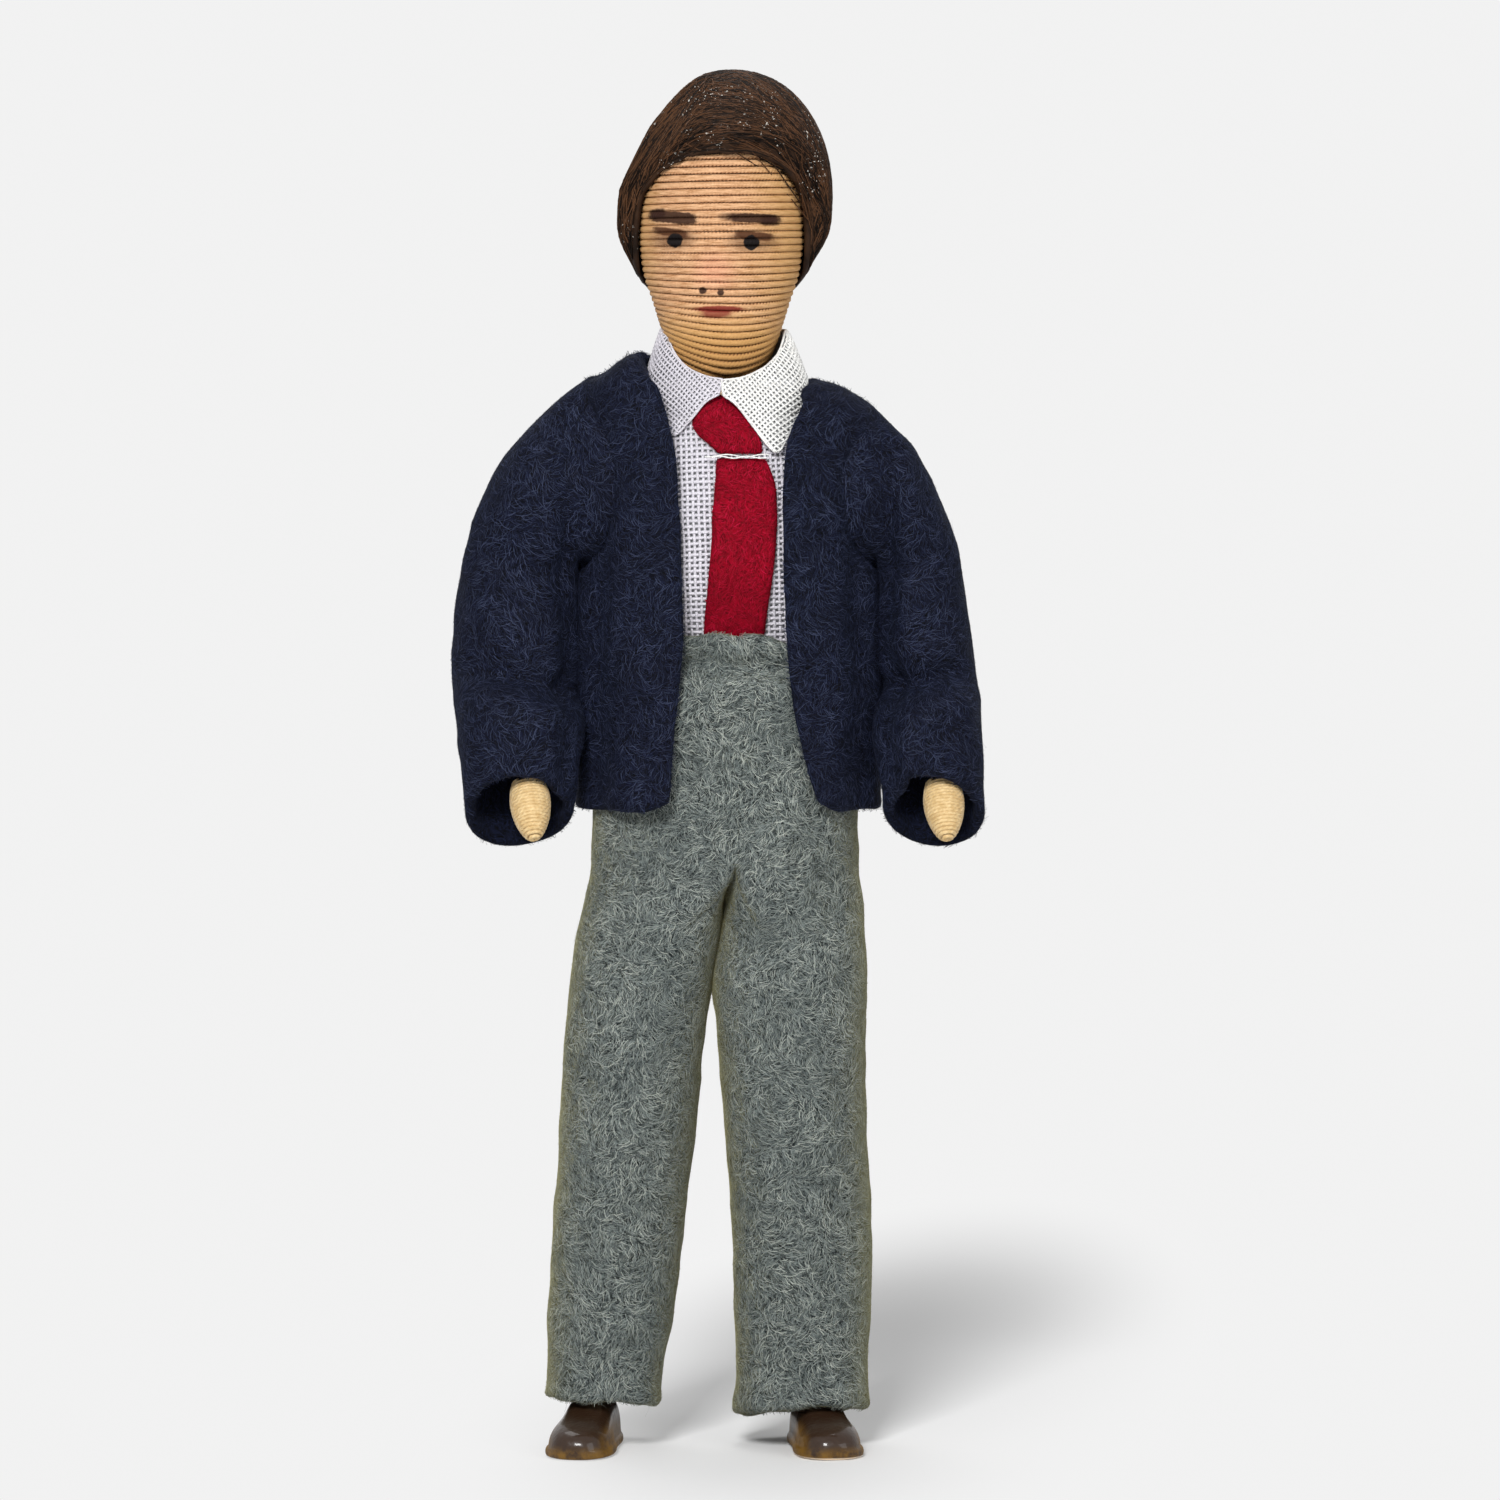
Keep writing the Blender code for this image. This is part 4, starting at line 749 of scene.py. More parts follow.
def solid_loft(name: str, rings: Grid, material: Material,
               levels: int = 1) -> Object:
    """A closed form through rings that go down, each turning from the front to the left."""
    columns = len(rings[0])
    points = [point for ring in rings for point in ring]
    faces = grid_faces(len(rings), columns, True)
    for ring, down in ((rings[0], False), (rings[-1], True)):
        points.append(mean(ring))
        hub, base = len(points) - 1, (len(rings) - 1) * columns if down else 0
        for column in range(columns):
            after = (column + 1) % columns
            face = (hub, base + after, base + column) if down else (hub, base + column, base + after)
            faces.append(face)
    return subdivide(new_piece(name, points, faces, material), levels)


def roughen(piece: Object, depth: float, size: float, fine_share: float = 0.35) -> None:
    """Moves a mesh's points along their normals by seeded noise.

    Args:
        piece: a piece with no modifiers.
        depth: the largest move, in millimetres.
        size: the width of a lump, in millimetres.
        fine_share: how strong the finer lumps are.
    """
    data = piece.data
    normals = [Vector(vertex.normal) for vertex in data.vertices]
    for vertex, normal in zip(data.vertices, normals):
        at = vertex.co / (size * MM)
        lump = noise(at) + fine_share * noise(at * 3.7)
        vertex.co += normal * (lump * depth * MM)


# Geometry Nodes

class TreeBuilder(Graph):
    """Builds a Geometry Nodes tree with named inputs."""

    def __init__(self, name: str, inputs: dict[str, tuple[str, object]]) -> None:
        super().__init__(bpy.data.node_groups.new(name, "GeometryNodeTree"))
        face = self.tree.interface
        for way in ("INPUT", "OUTPUT"):
            face.new_socket("Geometry", in_out=way, socket_type="NodeSocketGeometry")
        for label, (kind, value) in inputs.items():
            socket = face.new_socket(label, in_out="INPUT", socket_type="NodeSocket" + kind)
            if value is not None:
                socket.default_value = value
        self.start = self.node("NodeGroupInput")
        self.end = self.tree.nodes.new("NodeGroupOutput")

    def given(self, label: str) -> Signal:
        """One of the tree's own inputs."""
        return self.start.beside(label)

    def vector(self, x: object, y: object, z: object) -> Signal:
        """A vector from its three parts."""
        return self.node("ShaderNodeCombineXYZ", None, {0: x, 1: y, 2: z})

    def chance(self, low: object, high: object, seed: int) -> Signal:
        """A random number between two."""
        return self.node("FunctionNodeRandomValue", None, {2: low, 3: high, "Seed": seed}, 1)

    def store(self, geometry: Signal, name: str, kind: str, value: Signal,
              domain: str = "POINT") -> Signal:
        """Keeps a value on the geometry under a name that materials read."""
        return self.node("GeometryNodeStoreNamedAttribute", {"data_type": kind, "domain": domain},
                         {"Geometry": geometry, "Name": name, "Value": value})

    def close(self, geometry: Signal) -> NodeTree:
        """Realises the instances, sets the material and ends the tree."""
        real = self.node("GeometryNodeRealizeInstances", None, {0: geometry})
        self.feed(self.end.inputs[0], self.node("GeometryNodeSetMaterial", None, {
            "Geometry": real, "Material": self.given("Finish")}))
        return self.tree


def thread_tree() -> NodeTree:
    """Turns a mesh's edges into round threads."""
    build = TreeBuilder("Threads", {"Radius": ("Float", 0.0003), "Sides": ("Int", 6),
                                    "Finish": ("Material", None)})
    line = build.node("GeometryNodeMeshToCurve", None, {0: build.given("Geometry")})
    line = build.store(line, "along", "FLOAT", build.node("GeometryNodeSplineParameter", output="Length"))
    own = build.node("GeometryNodeFieldOnDomain", {"data_type": "INT", "domain": "CURVE"},
                     {0: build.node("GeometryNodeInputIndex")})
    line = build.store(line, "tone", "FLOAT", build.node(
        "FunctionNodeRandomValue", {"data_type": "FLOAT"}, {"ID": own, "Seed": 5}, 1))
    profile = build.node("GeometryNodeCurvePrimitiveCircle", None,
                         {"Resolution": build.given("Sides"), "Radius": build.given("Radius")})
    profile = build.store(profile, "ring", "FLOAT_VECTOR", build.node("GeometryNodeInputPosition"))
    return build.close(build.node("GeometryNodeCurveToMesh", None, {
        "Curve": line, "Profile Curve": profile, "Fill Caps": True}))


def nap_tree() -> NodeTree:
    """Strews curved flat fibres over a cloth, combed in slow swirls."""
    build = TreeBuilder("Felt nap", {
        "Density": ("Float", 1.0), "Seed": ("Int", 1), "Shortest": ("Float", 0.001),
        "Longest": ("Float", 0.002), "Width": ("Float", 0.03), "Curl": ("Float", 0.3),
        "Points": ("Int", 3), "Arch": ("Float", 0.05), "Tilt": ("Float", 0.15),
        "Swirl": ("Float", 260.0), "Stray": ("Float", 0.8), "Finish": ("Material", None)})
    tilt, stray = build.given("Tilt"), build.given("Stray")
    scatter = build.node("GeometryNodeDistributePointsOnFaces", None,
                         {"Mesh": build.given("Geometry"), "Density": build.given("Density"),
                          "Seed": build.given("Seed")})
    strip = build.node("GeometryNodeMeshGrid", None,
                       {"Size X": 1.0, "Size Y": build.given("Width"), "Vertices Y": 2,
                        "Vertices X": build.given("Points")})
    split = build.node("ShaderNodeSeparateXYZ", None, {0: build.node("GeometryNodeInputPosition")})
    square = split * split
    arch = build.node("ShaderNodeMath", {"operation": "MULTIPLY_ADD"}, {0: square, 1: -4.0, 2: 1.0})
    offset = build.vector(0.0, square * build.given("Curl"), arch * build.given("Arch"))
    fibre = build.node("GeometryNodeSetPosition", None, {"Geometry": strip, "Offset": offset})
    swirl = build.node("ShaderNodeTexNoise", None,
                       {"Scale": build.given("Swirl"), "Detail": 1.0, "Distortion": 0.6})
    least = tilt * -1.0
    loose = build.node("FunctionNodeRandomValue", {"data_type": "FLOAT_VECTOR"},
                       {0: build.vector(least, least, stray * -1.0), 1: build.vector(tilt, tilt, stray),
                        "Seed": 11})
    turn = build.node("ShaderNodeVectorMath", {"operation": "ADD"},
                      {0: loose, 1: build.vector(0.0, 0.0, swirl * 11.0)})
    turned = build.node("FunctionNodeRotateRotation", {"rotation_space": "LOCAL"},
                        {0: scatter.beside("Rotation"),
                         1: build.node("FunctionNodeEulerToRotation", None, {0: turn})})
    length = build.chance(build.given("Shortest"), build.given("Longest"), 12)
    scale = build.vector(length, length * build.chance(0.4, 1.2, 13), length)
    made = build.node("GeometryNodeInstanceOnPoints", None,
                      {"Points": scatter, "Instance": fibre, "Rotation": turned, "Scale": scale})
    return build.close(build.store(made, "tone", "FLOAT", build.chance(0.0, 1.0, 14), "INSTANCE"))


def grow(source: Object, tree: NodeTree, **values: object) -> Object:
    """Runs a tree on an object and leaves the plain mesh it makes.

    Args:
        source: the object; its own mesh is lost.
        tree: the Geometry Nodes tree.
        values: the tree's inputs by name.

    Returns:
        The same object with the made mesh.
    """
    modifier = source.modifiers.new(tree.name, "NODES")
    modifier.node_group = tree
    names = {item.name: item.identifier for item in tree.interface.items_tree
             if item.item_type == "SOCKET" and item.in_out == "INPUT"}
    for name, value in values.items():
        modifier[names[name]] = value
    apply_modifiers(source)
    source.data.materials.clear()
    source.data.materials.append(values["Finish"])
    source.data.polygons.foreach_set("material_index", [0] * len(source.data.polygons))
    return source


THREADS = thread_tree()
NAP = nap_tree()


def threads(name: str, paths: Grid, radius: float,
            material: Material, sides: int = 6) -> Object:
    """Round threads along paths in millimetres."""
    points, edges = [], []
    for path in paths:
        first = len(points)
        points.extend(path)
        edges.extend((first + step, first + step + 1) for step in range(len(path) - 1))
    source = new_piece(name, points, (), None, edges)
    return grow(source, THREADS, Radius=radius * MM, Sides=sides, Finish=material)


def join(name: str, pieces: Sequence[Object]) -> Object:
    """Joins plain meshes into the first of them."""
    joined = bmesh.new()
    materials: list[Material] = []
    for piece in pieces:
        first = len(joined.faces)
        joined.from_mesh(piece.data)
        joined.faces.ensure_lookup_table()
        for material in piece.data.materials:
            if material not in materials:
                materials.append(material)
        index = materials.index(piece.data.materials[0])
        for face in joined.faces[first:]:
            face.material_index = index
    kept = pieces[0]
    joined.to_mesh(kept.data)
    joined.free()
    kept.data.materials.clear()
    for material in materials:
        kept.data.materials.append(material)
    for piece in pieces[1:]:
        spare = piece.data
        bpy.data.objects.remove(piece)
        bpy.data.meshes.remove(spare)
    kept.name = name
    return kept


@dataclass(frozen=True)
class FibreLayer:
    """One layer of fibres; lengths and widths in millimetres, how many to a square millimetre."""

    density: float
    shortest: float
    longest: float
    width: float
    arch: float
    tilt: float
    stray: float
    curl: float
    points: int


@dataclass(frozen=True)
class Nap:
    """How thickly a felt is covered with fibres: a layer that lies flat and a few stray ones."""

    density: float
    shortest: float
    longest: float
    width: float
    stray: float = 0.05
    stray_length: float = 4.5

    def fibre_layers(self) -> tuple[FibreLayer, FibreLayer]:
        """The lying fibres and the stray ones."""
        return (FibreLayer(self.density, self.shortest, self.longest, self.width, arch=0.02, tilt=0.10,
                           stray=0.6, curl=0.4, points=3),
                FibreLayer(self.stray, self.stray_length / 2, self.stray_length, self.width * 0.6,
                           arch=0.06, tilt=0.10, stray=3.0, curl=1.2, points=9))


# A felt's vertex groups in order, and how much of one keeps a face bare of fibres
LINING, JOINED = 0, 1
LINING_SHARE, JOINED_SHARE = 1.4, 0.9


@dataclass(frozen=True)
class Felt:
    """Felt cloth of one kind."""

    finish: FeltFinish
    nap: Nap
    slot: str
    thickness: float = 1.1
    lump: float = 0.22
    lump_size: float = 3.0

    def rumple(self, rows: Grid, closed: bool) -> Grid:
        """Fills in a grid and gives it the small lumps of pressed wool."""
        fine = finer(rows, closed)
        last = len(fine[0]) - 1
        found = []
        for index, row in enumerate(fine):
            above, below = fine[max(index - 1, 0)], fine[min(index + 1, len(fine) - 1)]
            line = []
            for column, point in enumerate(row):
                before = row[column - 1] if closed or column else row[0]
                after = row[(column + 1) % (last + 1)] if closed else row[min(column + 1, last)]
                out = (after - before).cross(above[column] - below[column]).normalized()
                at = point / self.lump_size
                lump = noise(at) + 0.4 * noise(at * 3.1)
                line.append(point + out * (lump * self.lump))
            found.append(line)
        return found

    def cut(self, name: str, rows: Grid, closed: bool, carry: Carry, replaced: Sequence[str],
            joins: str = "", is_sheet: bool = True) -> None:
        """Args:
            name: the piece's name.
            rows: its outer face, going down, each row turning from front to left.
            closed: whether the rows run all the way round.
            carry: what the piece follows.
            replaced: the solids it stands for.
            joins: which of "top", "low" and "middle" (its first and last column) run on in
                another piece.
            is_sheet: not used.
        """
        cloth = grid_piece(name, rows, closed, self.finish.cloth())
        cloth.vertex_groups.new(name="lining")
        joined = cloth.vertex_groups.new(name="joined")
        columns, every = len(rows[0]), range(len(rows) * len(rows[0]))
        for word, ends in (("top", every[:columns]), ("low", every[-columns:]),
                           ("middle", every[::columns]), ("middle", every[columns - 1::columns])):
            if word in joins:
                joined.add(list(ends), 1.0, "REPLACE")
        thicken(cloth, self.thickness).shell_vertex_group = "lining"
        apply_modifiers(cloth)
        data = cloth.data
        rim = {vertex.index for vertex in data.vertices
               if any(group.group == JOINED and group.weight > 0.5 for group in vertex.groups)}
        crease = data.attributes.new("crease_edge", "FLOAT", "EDGE")
        for edge in data.edges:
            if rim.issuperset(edge.vertices):
                crease.data[edge.index].value = 1.0
                edge.use_edge_sharp = True
        subdivide(cloth, 1)
        nap = self.cover(cloth, name + "_nap")
        place(cloth, carry, self.slot, replaced)
        place(nap, carry, self.slot)

    def cover(self, cloth: Object, name: str) -> Object:
        """Grows the fibres of a cloth's outside as a piece of their own."""
        bare = bmesh.new()
        bare.from_mesh(cloth.data)
        weights = bare.verts.layers.deform.active
        gone = [face for face in bare.faces
                if sum(vert[weights].get(LINING, 0.0) for vert in face.verts) > LINING_SHARE
                or min(vert[weights].get(JOINED, 0.0) for vert in face.verts) > JOINED_SHARE]
        bmesh.ops.delete(bare, geom=gone, context="FACES")
        layers = []
        for seed, layer in enumerate(self.nap.fibre_layers(), sum(ord(letter) for letter in name)):
            source = new_piece(name, (), ())
            bare.to_mesh(source.data)
            middling = (layer.shortest + layer.longest) / 2
            layers.append(grow(source, NAP, Density=layer.density / MM ** 2, Seed=seed,
                               Shortest=layer.shortest * MM, Longest=layer.longest * MM,
                               Width=layer.width / middling, Curl=layer.curl, Arch=layer.arch,
                               Tilt=layer.tilt, Stray=layer.stray, Points=layer.points,
                               Finish=self.finish.nap()))
        bare.free()
        return join(name, layers)


JACKET_FELT = Felt(NAVY, Nap(19.0, 0.6, 1.5, 0.036, 0.03, 4.0), "jacket_felt", lump=0.26)
TROUSER_FELT = Felt(GREY_GREEN, Nap(25.0, 0.5, 1.3, 0.036, 0.04, 3.0), "trouser_felt", lump=0.18)
TIE_FELT = Felt(CRIMSON, Nap(20.0, 0.3, 0.8, 0.040, 0.10, 1.8), "tie_felt", thickness=0.9, lump=0.10)


# The head

@dataclass
class Head:
    """The wound head, its painted face and its hair."""

    x: float = 0.35
    half_width: float = 8.38
    half_depth: float = 8.1
    chin_z: float = 108.6
    length: float = 29.8
    chin_lean: float = 0.08
    pitch: float = 0.72
    thread: float = 0.365
    sink: float = 0.30
    loop_steps: int = 64
    top_z: float = 134.2
    outline: Rows = ((0.0, 0.0), (0.006, 0.24), (0.02, 0.40), (0.05, 0.53), (0.11, 0.64), (0.20, 0.75),
                     (0.28, 0.84), (0.35, 0.925), (0.45, 0.99), (0.53, 1.0), (0.63, 0.975),
                     (0.725, 0.90), (0.823, 0.77), (0.902, 0.60), (0.961, 0.39), (1.0, 0.0))
    side_lift: Rows = ((108.6, 3.6), (111.5, 2.9), (114.0, 1.9), (117.6, 0.9), (121.7, 0.3), (126.0, 0.0))

    def point(self, height: float, angle: float, offset: float = 0.0) -> Vector:
        """A point on the head; angle 0 is the face and a quarter turn is the doll's left."""
        share = max(0.0, min(1.0, (height - self.chin_z) / self.length))
        width = read(self.outline, share)[0]
        lean = self.chin_lean * (1 - share) * self.half_depth
        return Vector((self.x + max(width * self.half_width + offset, 0.05) * sin(angle),
                       SPINE_Y - lean - max(width * self.half_depth + offset, 0.05) * cos(angle),
                       height))

    def wound_path(self) -> list[Vector]:
        """The one thread, sagging across the front and crowded together under the chin."""
        path = []
        base = self.chin_z + 0.25
        start = base - self.side_lift[0][1]
        loops = (self.top_z - start) / self.pitch
        for step in range(int(loops * self.loop_steps)):
            angle = 2 * pi * step / self.loop_steps
            low = start + self.pitch * step / self.loop_steps
            front = ((1 + cos(angle - 0.25)) / 2) ** 1.6
            height = low + read(self.side_lift, low)[0] * (1 - front)
            if height < base:
                height = base + (height - base) * 0.05
            path.append(self.point(height, angle, -self.sink))
        return path

    def build(self) -> None:
        """Makes the wound thread over its wadding, then the hair."""
        face = threads("wound_head", [self.wound_path()], self.thread, FaceFinish().look(), 8)
        # how far each point lies down between turns, for the face material's painted groove shade
        grooves = face.data.attributes.new("groove", "FLOAT", "POINT")
        for vertex in face.data.vertices:
            at = vertex.co / MM
            crest = self.point(at.z, atan2(at.x - self.x, SPINE_Y - at.y))
            out = Vector((at.x - self.x, at.y - SPINE_Y, 0)).length
            surface = Vector((crest.x - self.x, crest.y - SPINE_Y, 0)).length
            grooves.data[vertex.index].value = smooth(surface - out, 0.0, 0.24)
        place(face, Carry("head"), "head_thread", ["head_winding"])
        rings = [[self.point(height, angle, -0.75) for angle in round_angles(24)]
                 for height in spread(self.chin_z + self.length - 1.4, self.chin_z + 0.9, 18)]
        core = solid_loft("head_wadding", rings, WADDING.look())
        roughen(core, 0.06, 1.2)
        place(core, Carry("head"), "padding", ["head_core"])
        Hair(self).build()


@dataclass
class Hair:
    """A cap of glued fibre, combed from a parting on the doll's right over to its left."""

    head: Head
    centre: Triple = (0.7, 1.0, 126.0)
    side_reach: float = 10.7
    front_reach: float = 9.9
    back_reach: float = 10.2
    up_reach: float = 13.9
    down_reach: float = 14.5
    lean: float = 0.055
    square: float = 2.1
    strand: float = 0.08
    strands: int = 3000
    edge_z: Rows = ((0, 131.3), (15, 131.5), (31, 130.9), (50, 129.6), (62, 128.0), (70, 126.4),
                    (76, 122.8), (84, 120.2), (100, 119.0), (140, 116.0), (180, 115.9))

    def outer(self, way: Vector) -> Vector:
        """Where a ray from the middle of the head leaves the hair."""
        deep = self.back_reach if way.y > 0 else self.front_reach
        tall = self.up_reach if way.z > 0 else self.down_reach
        power = self.square
        reach = (abs(way.x / self.side_reach) ** power + abs(way.y / deep) ** power
                 + abs(way.z / tall) ** power) ** (-1 / power)
        reach *= 1 - 0.07 * smooth(-way.x, 0.15, 0.6) * smooth(way.z, 0.15, 0.5)
        point = Vector(self.centre) + way * reach
        point.x += self.lean * (point.z - self.centre[2])
        return point

    def inner(self, point: Vector) -> Vector:
        """The point on the wound head behind a point of the hair."""
        angle = atan2(point.x - self.head.x, -(point.y - SPINE_Y))
        height = min(point.z, self.head.chin_z + self.head.length - 0.25)
        return self.head.point(height, angle, 0.35)

    def edge(self, angle: float) -> float:
        """How low the hair hangs at an angle from the face."""
        around = abs(degrees(remainder(angle, 2 * pi)))
        ragged = 0.35 * noise(Vector((cos(angle) * 9, sin(angle) * 9, 0)))
        return read(self.edge_z, around)[0] + ragged

    def polar_limit(self, angle: float) -> float:
        """The tilt from straight up at which the hair's outside meets its edge."""
        low, high = 0.2, 3.0
        limit = self.edge(angle)
        for _ in range(24):
            middle = (low + high) / 2
            if self.outer(self.way(middle, angle)).z > limit:
                low = middle
            else:
                high = middle
        return low

    @staticmethod
    def way(tilt: float, angle: float) -> Vector:
        """A direction, by its tilt from straight up and its angle from the face."""
        return Vector((sin(tilt) * sin(angle), -sin(tilt) * cos(angle),
                       cos(tilt)))

    def surface(self, share: float, angle: float, limit: float) -> Vector:
        """The hair's outside, closing on the head at its edge."""
        point = self.outer(self.way(max(limit * share, 0.02), angle))
        close = smooth(share, 0.80, 1.0)
        return point.lerp(self.inner(point), close * 0.72)

    def build(self) -> None:
        """Makes the cap and its strands."""
        lines = 26
        around = [(angle, self.polar_limit(angle)) for angle in round_angles(72)]
        outside = [[self.surface((line / lines) ** 0.8, angle, limit) for angle, limit in around]
                   for line in range(1, lines + 1)]
        inside = [[self.inner(point) for point in row] for row in outside]
        cap = solid_loft("hair_cap", outside + inside[::-1], HairFinish().look(), 0)
        tones = cap.data.attributes.new("tone", "FLOAT", "POINT")
        tones.data.foreach_set("value", [0.42] * len(cap.data.vertices))
        place(cap, Carry("head"), "hair", ["hair"])
        strands = threads("hair_strands", self.strand_paths(), self.strand, HairFinish().look(), 3)
        place(strands, Carry("head"), "hair")

    def strand_paths(self) -> Grid:
        """Strands from the parting and the crown to the edge, a little apart from one another."""
        chance = random.Random(41)
        paths = []
        parting, crown = self.way(0.55, -0.75), self.way(0.12, 2.6)
        for index in range(self.strands):
            if index % 2:
                root = self.way(chance.uniform(0.1, 1.1), chance.uniform(-1.4, -0.6))
                angle = chance.uniform(0.5, 2.1)
                reach = chance.uniform(0.5, 1.0 if angle > 1.5 else 0.86)
                swing = Vector((0.0, -0.25, 0.12)) * chance.uniform(0.0, 0.9)
            else:
                angle = chance.uniform(1.0, 2 * pi - 0.8)
                root = parting.lerp(crown, chance.uniform(0.0, 1.0)).normalized()
                reach = chance.uniform(0.92, 1.0)
                swing = Vector((0.42, -0.30, 0.22)) * chance.uniform(0.3, 1.0)
            root = (root + Vector([chance.uniform(-0.16, 0.16) for _ in range(3)])).normalized()
            tip = self.way(self.polar_limit(angle) * reach, angle)
            begin, finish = chance.uniform(0.0, 0.5), chance.uniform(0.8, 1.0)
            lift = chance.uniform(-0.05, 0.16)
            wave = chance.uniform(-0.07, 0.07)
            path = []
            for step in range(11):
                share = begin + (finish - begin) * step / 10
                way = root.lerp(tip, share) + swing * sin(pi * share) * 0.55
                way.normalize()
                bend = atan2(way.x, -way.y) + wave * sin(share * 9)
                tilt = acos(max(-1.0, min(1.0, way.z)))
                edge = self.polar_limit(bend)
                tilt = min(tilt, edge * 0.97)
                point = self.surface(tilt / edge, bend, edge)
                out = (point - Vector(self.centre)).normalized()
                path.append(point + out * (lift - 0.12 * (step in (0, 10))))
            paths.append(path)
        return paths


# The shirt and the tie

@dataclass(frozen=True)
class Weave:
    """A plain weave with its threads apart."""

    pitch: float
    thread: float
    rise: float
    turn: float

    def paths(self, reach: float, middle: Pair,
              locate: Callable[[float, float, float], Vector | None]) -> Grid:
        """Threads both ways over a region of the cloth.

        Args:
            reach: how far from the middle to look for cloth.
            middle: the middle of the region, across and up the cloth.
            locate: gives the point at a place across and up the cloth, lifted off it, or None
                beside it.

        Returns:
            The threads' paths, each over and under the other way's in turn.
        """
        found = []
        lines = int(reach / self.pitch)
        for sign, angle in ((1, self.turn), (-1, self.turn + pi / 2)):
            along = Vector((cos(angle), sin(angle)))
            aside = Vector((-along.y, along.x))
            for line in range(-lines, lines + 1):
                path: list[Vector] = []
                for step in range(-lines * 2, lines * 2 + 1):
                    at = Vector(middle) + aside * (line * self.pitch) + along * (step * self.pitch / 2)
                    lift = sign * self.rise * cos(pi * (step / 2 + line))
                    point = locate(at.x, at.y, lift)
                    if point is not None:
                        path.append(point)
                    if path and (point is None or step == lines * 2):
                        if len(path) > 2:
                            found.append(path)
                        path = []
        return found


@dataclass
class Shirt:
    """The shirt front, its collar and the felt tie over it."""

    sections: Rows = ((80.0, 9.7, 5.0), (83.5, 9.9, 5.2), (89.0, 13.0, 6.9), (98.0, 13.0, 6.9),
                      (105.0, 7.2, 5.9))
    cloth_rise: float = 0.25
    weave: Weave = Weave(0.56, 0.165, 0.10, 0.03)
    collar_weave: Weave = Weave(0.42, 0.125, 0.06, 0.62)
    collar_half: Pair = (6.0, 6.2)
    collar_radius: float = 7.0

    # Top angle, top height, low angle, low outset, low height
    collar_edges = {
        Side.RIGHT: ((2, 108.8, 5, 0.6, 107.3), (14, 109.0, 15.5, 1.2, 106.5),
                     (26, 109.4, 27, 1.5, 104.7), (38, 110.0, 42, 1.7, 103.2),
                     (50, 110.9, 57, 2.0, 105.4), (62, 112.1, 68, 2.1, 107.6),
                     (75, 113.7, 78, 1.9, 108.8), (90, 114.2, 90, 1.7, 109.2),
                     (135, 113.5, 135, 1.5, 109.2), (180, 113.2, 180, 1.5, 109.2)),
        Side.LEFT: ((-3, 108.7, -1, 0.8, 107.2), (14, 108.9, 9.5, 1.3, 106.2),
                    (26, 109.3, 21.5, 1.7, 104.1), (37, 109.8, 34, 2.1, 101.9),
                    (43, 110.1, 40, 2.4, 101.6), (52, 110.7, 52, 2.6, 104.2),
                    (62, 111.4, 63, 2.7, 106.6), (75, 112.7, 76, 2.4, 108.4),
                    (90, 113.7, 90, 2.0, 109.0), (135, 113.5, 135, 1.5, 109.2),
                    (180, 113.2, 180, 1.5, 109.2)),
    }

    def front(self, x: float, height: float, lift: float) -> Vector:
        """A point over the shirt's front."""
        half_width, half_depth = read(self.sections, height)
        share = min(0.999, abs(x - JACKET_X) / (half_width + lift))
        deep = (half_depth + lift) * (1 - share ** BODY_POWER) ** (1 / BODY_POWER)
        return Vector((x, TORSO_Y - deep, height))

    def collar_point(self, side: Side, turn: float, down: float, lift: float) -> Vector:
        """A point on a leaf of the collar.

        Args:
            side: which leaf.
            turn: the leaf's top angle, in degrees from the front.
            down: 0 on the top edge, 1 on the low one.
            lift: how far off the leaf.

        Returns:
            The point.
        """
        top_z, low_turn, out, low_z = read(self.collar_edges[side], turn)
        angle = radians(turn + (low_turn - turn) * down) * side.value
        height = top_z + (low_z - top_z) * down
        reach = out * max(0.0, down) ** 0.8 + lift
        over = 0.35 if side is Side.LEFT else 0.0
        point = Vector((SPINE_X + (self.collar_half[0] + reach) * sin(angle),
                        SPINE_Y - (self.collar_half[1] + reach) * cos(angle), height))
        if abs(turn) < 75 and height < 108.5:
            rest = self.front(point.x, height, 0.75 + over + lift).y
            press = smooth(height, 108.5, 106.0) if height < 106 else (108.5 - height) / 2.5
            point.y = min(point.y, point.y + (rest - point.y) * max(0.0, min(1.0, press)))
        return point

    def on_collar(self, side: Side) -> Callable[[float, float, float], Vector | None]:
        """Finds points of a leaf by arc length round the neck and height."""
        def locate(across: float, up: float, lift: float) -> Vector | None:
            """The leaf's point there, or None."""
            turn = wanted = degrees(across / self.collar_radius)
            down = 0.0
            for _ in range(5):
                top_z, low_turn, _, low_z = read(self.collar_edges[side], turn)
                down = (top_z - up) / (top_z - low_z)
                turn += wanted - (turn + (low_turn - turn) * max(0.0, min(1.0, down)))
                turn = max(self.collar_edges[side][0][0], min(180.0, turn))
            settled = abs(turn + (low_turn - turn) * down - wanted) < 3
            if not (settled and -0.01 <= down <= 1.01):
                return None
            return self.collar_point(side, turn, down, 0.22 + lift)
        return locate

    @staticmethod
    def cloth(name: str, rows: Grid) -> Object:
        """The thin cloth under a weave, grey as painted shade seen through the weave's holes."""
        piece = grid_piece(name, rows, False, SHIRT_HOLE_SHADE.look())
        thicken(piece, 0.2)
        return subdivide(piece, 1)

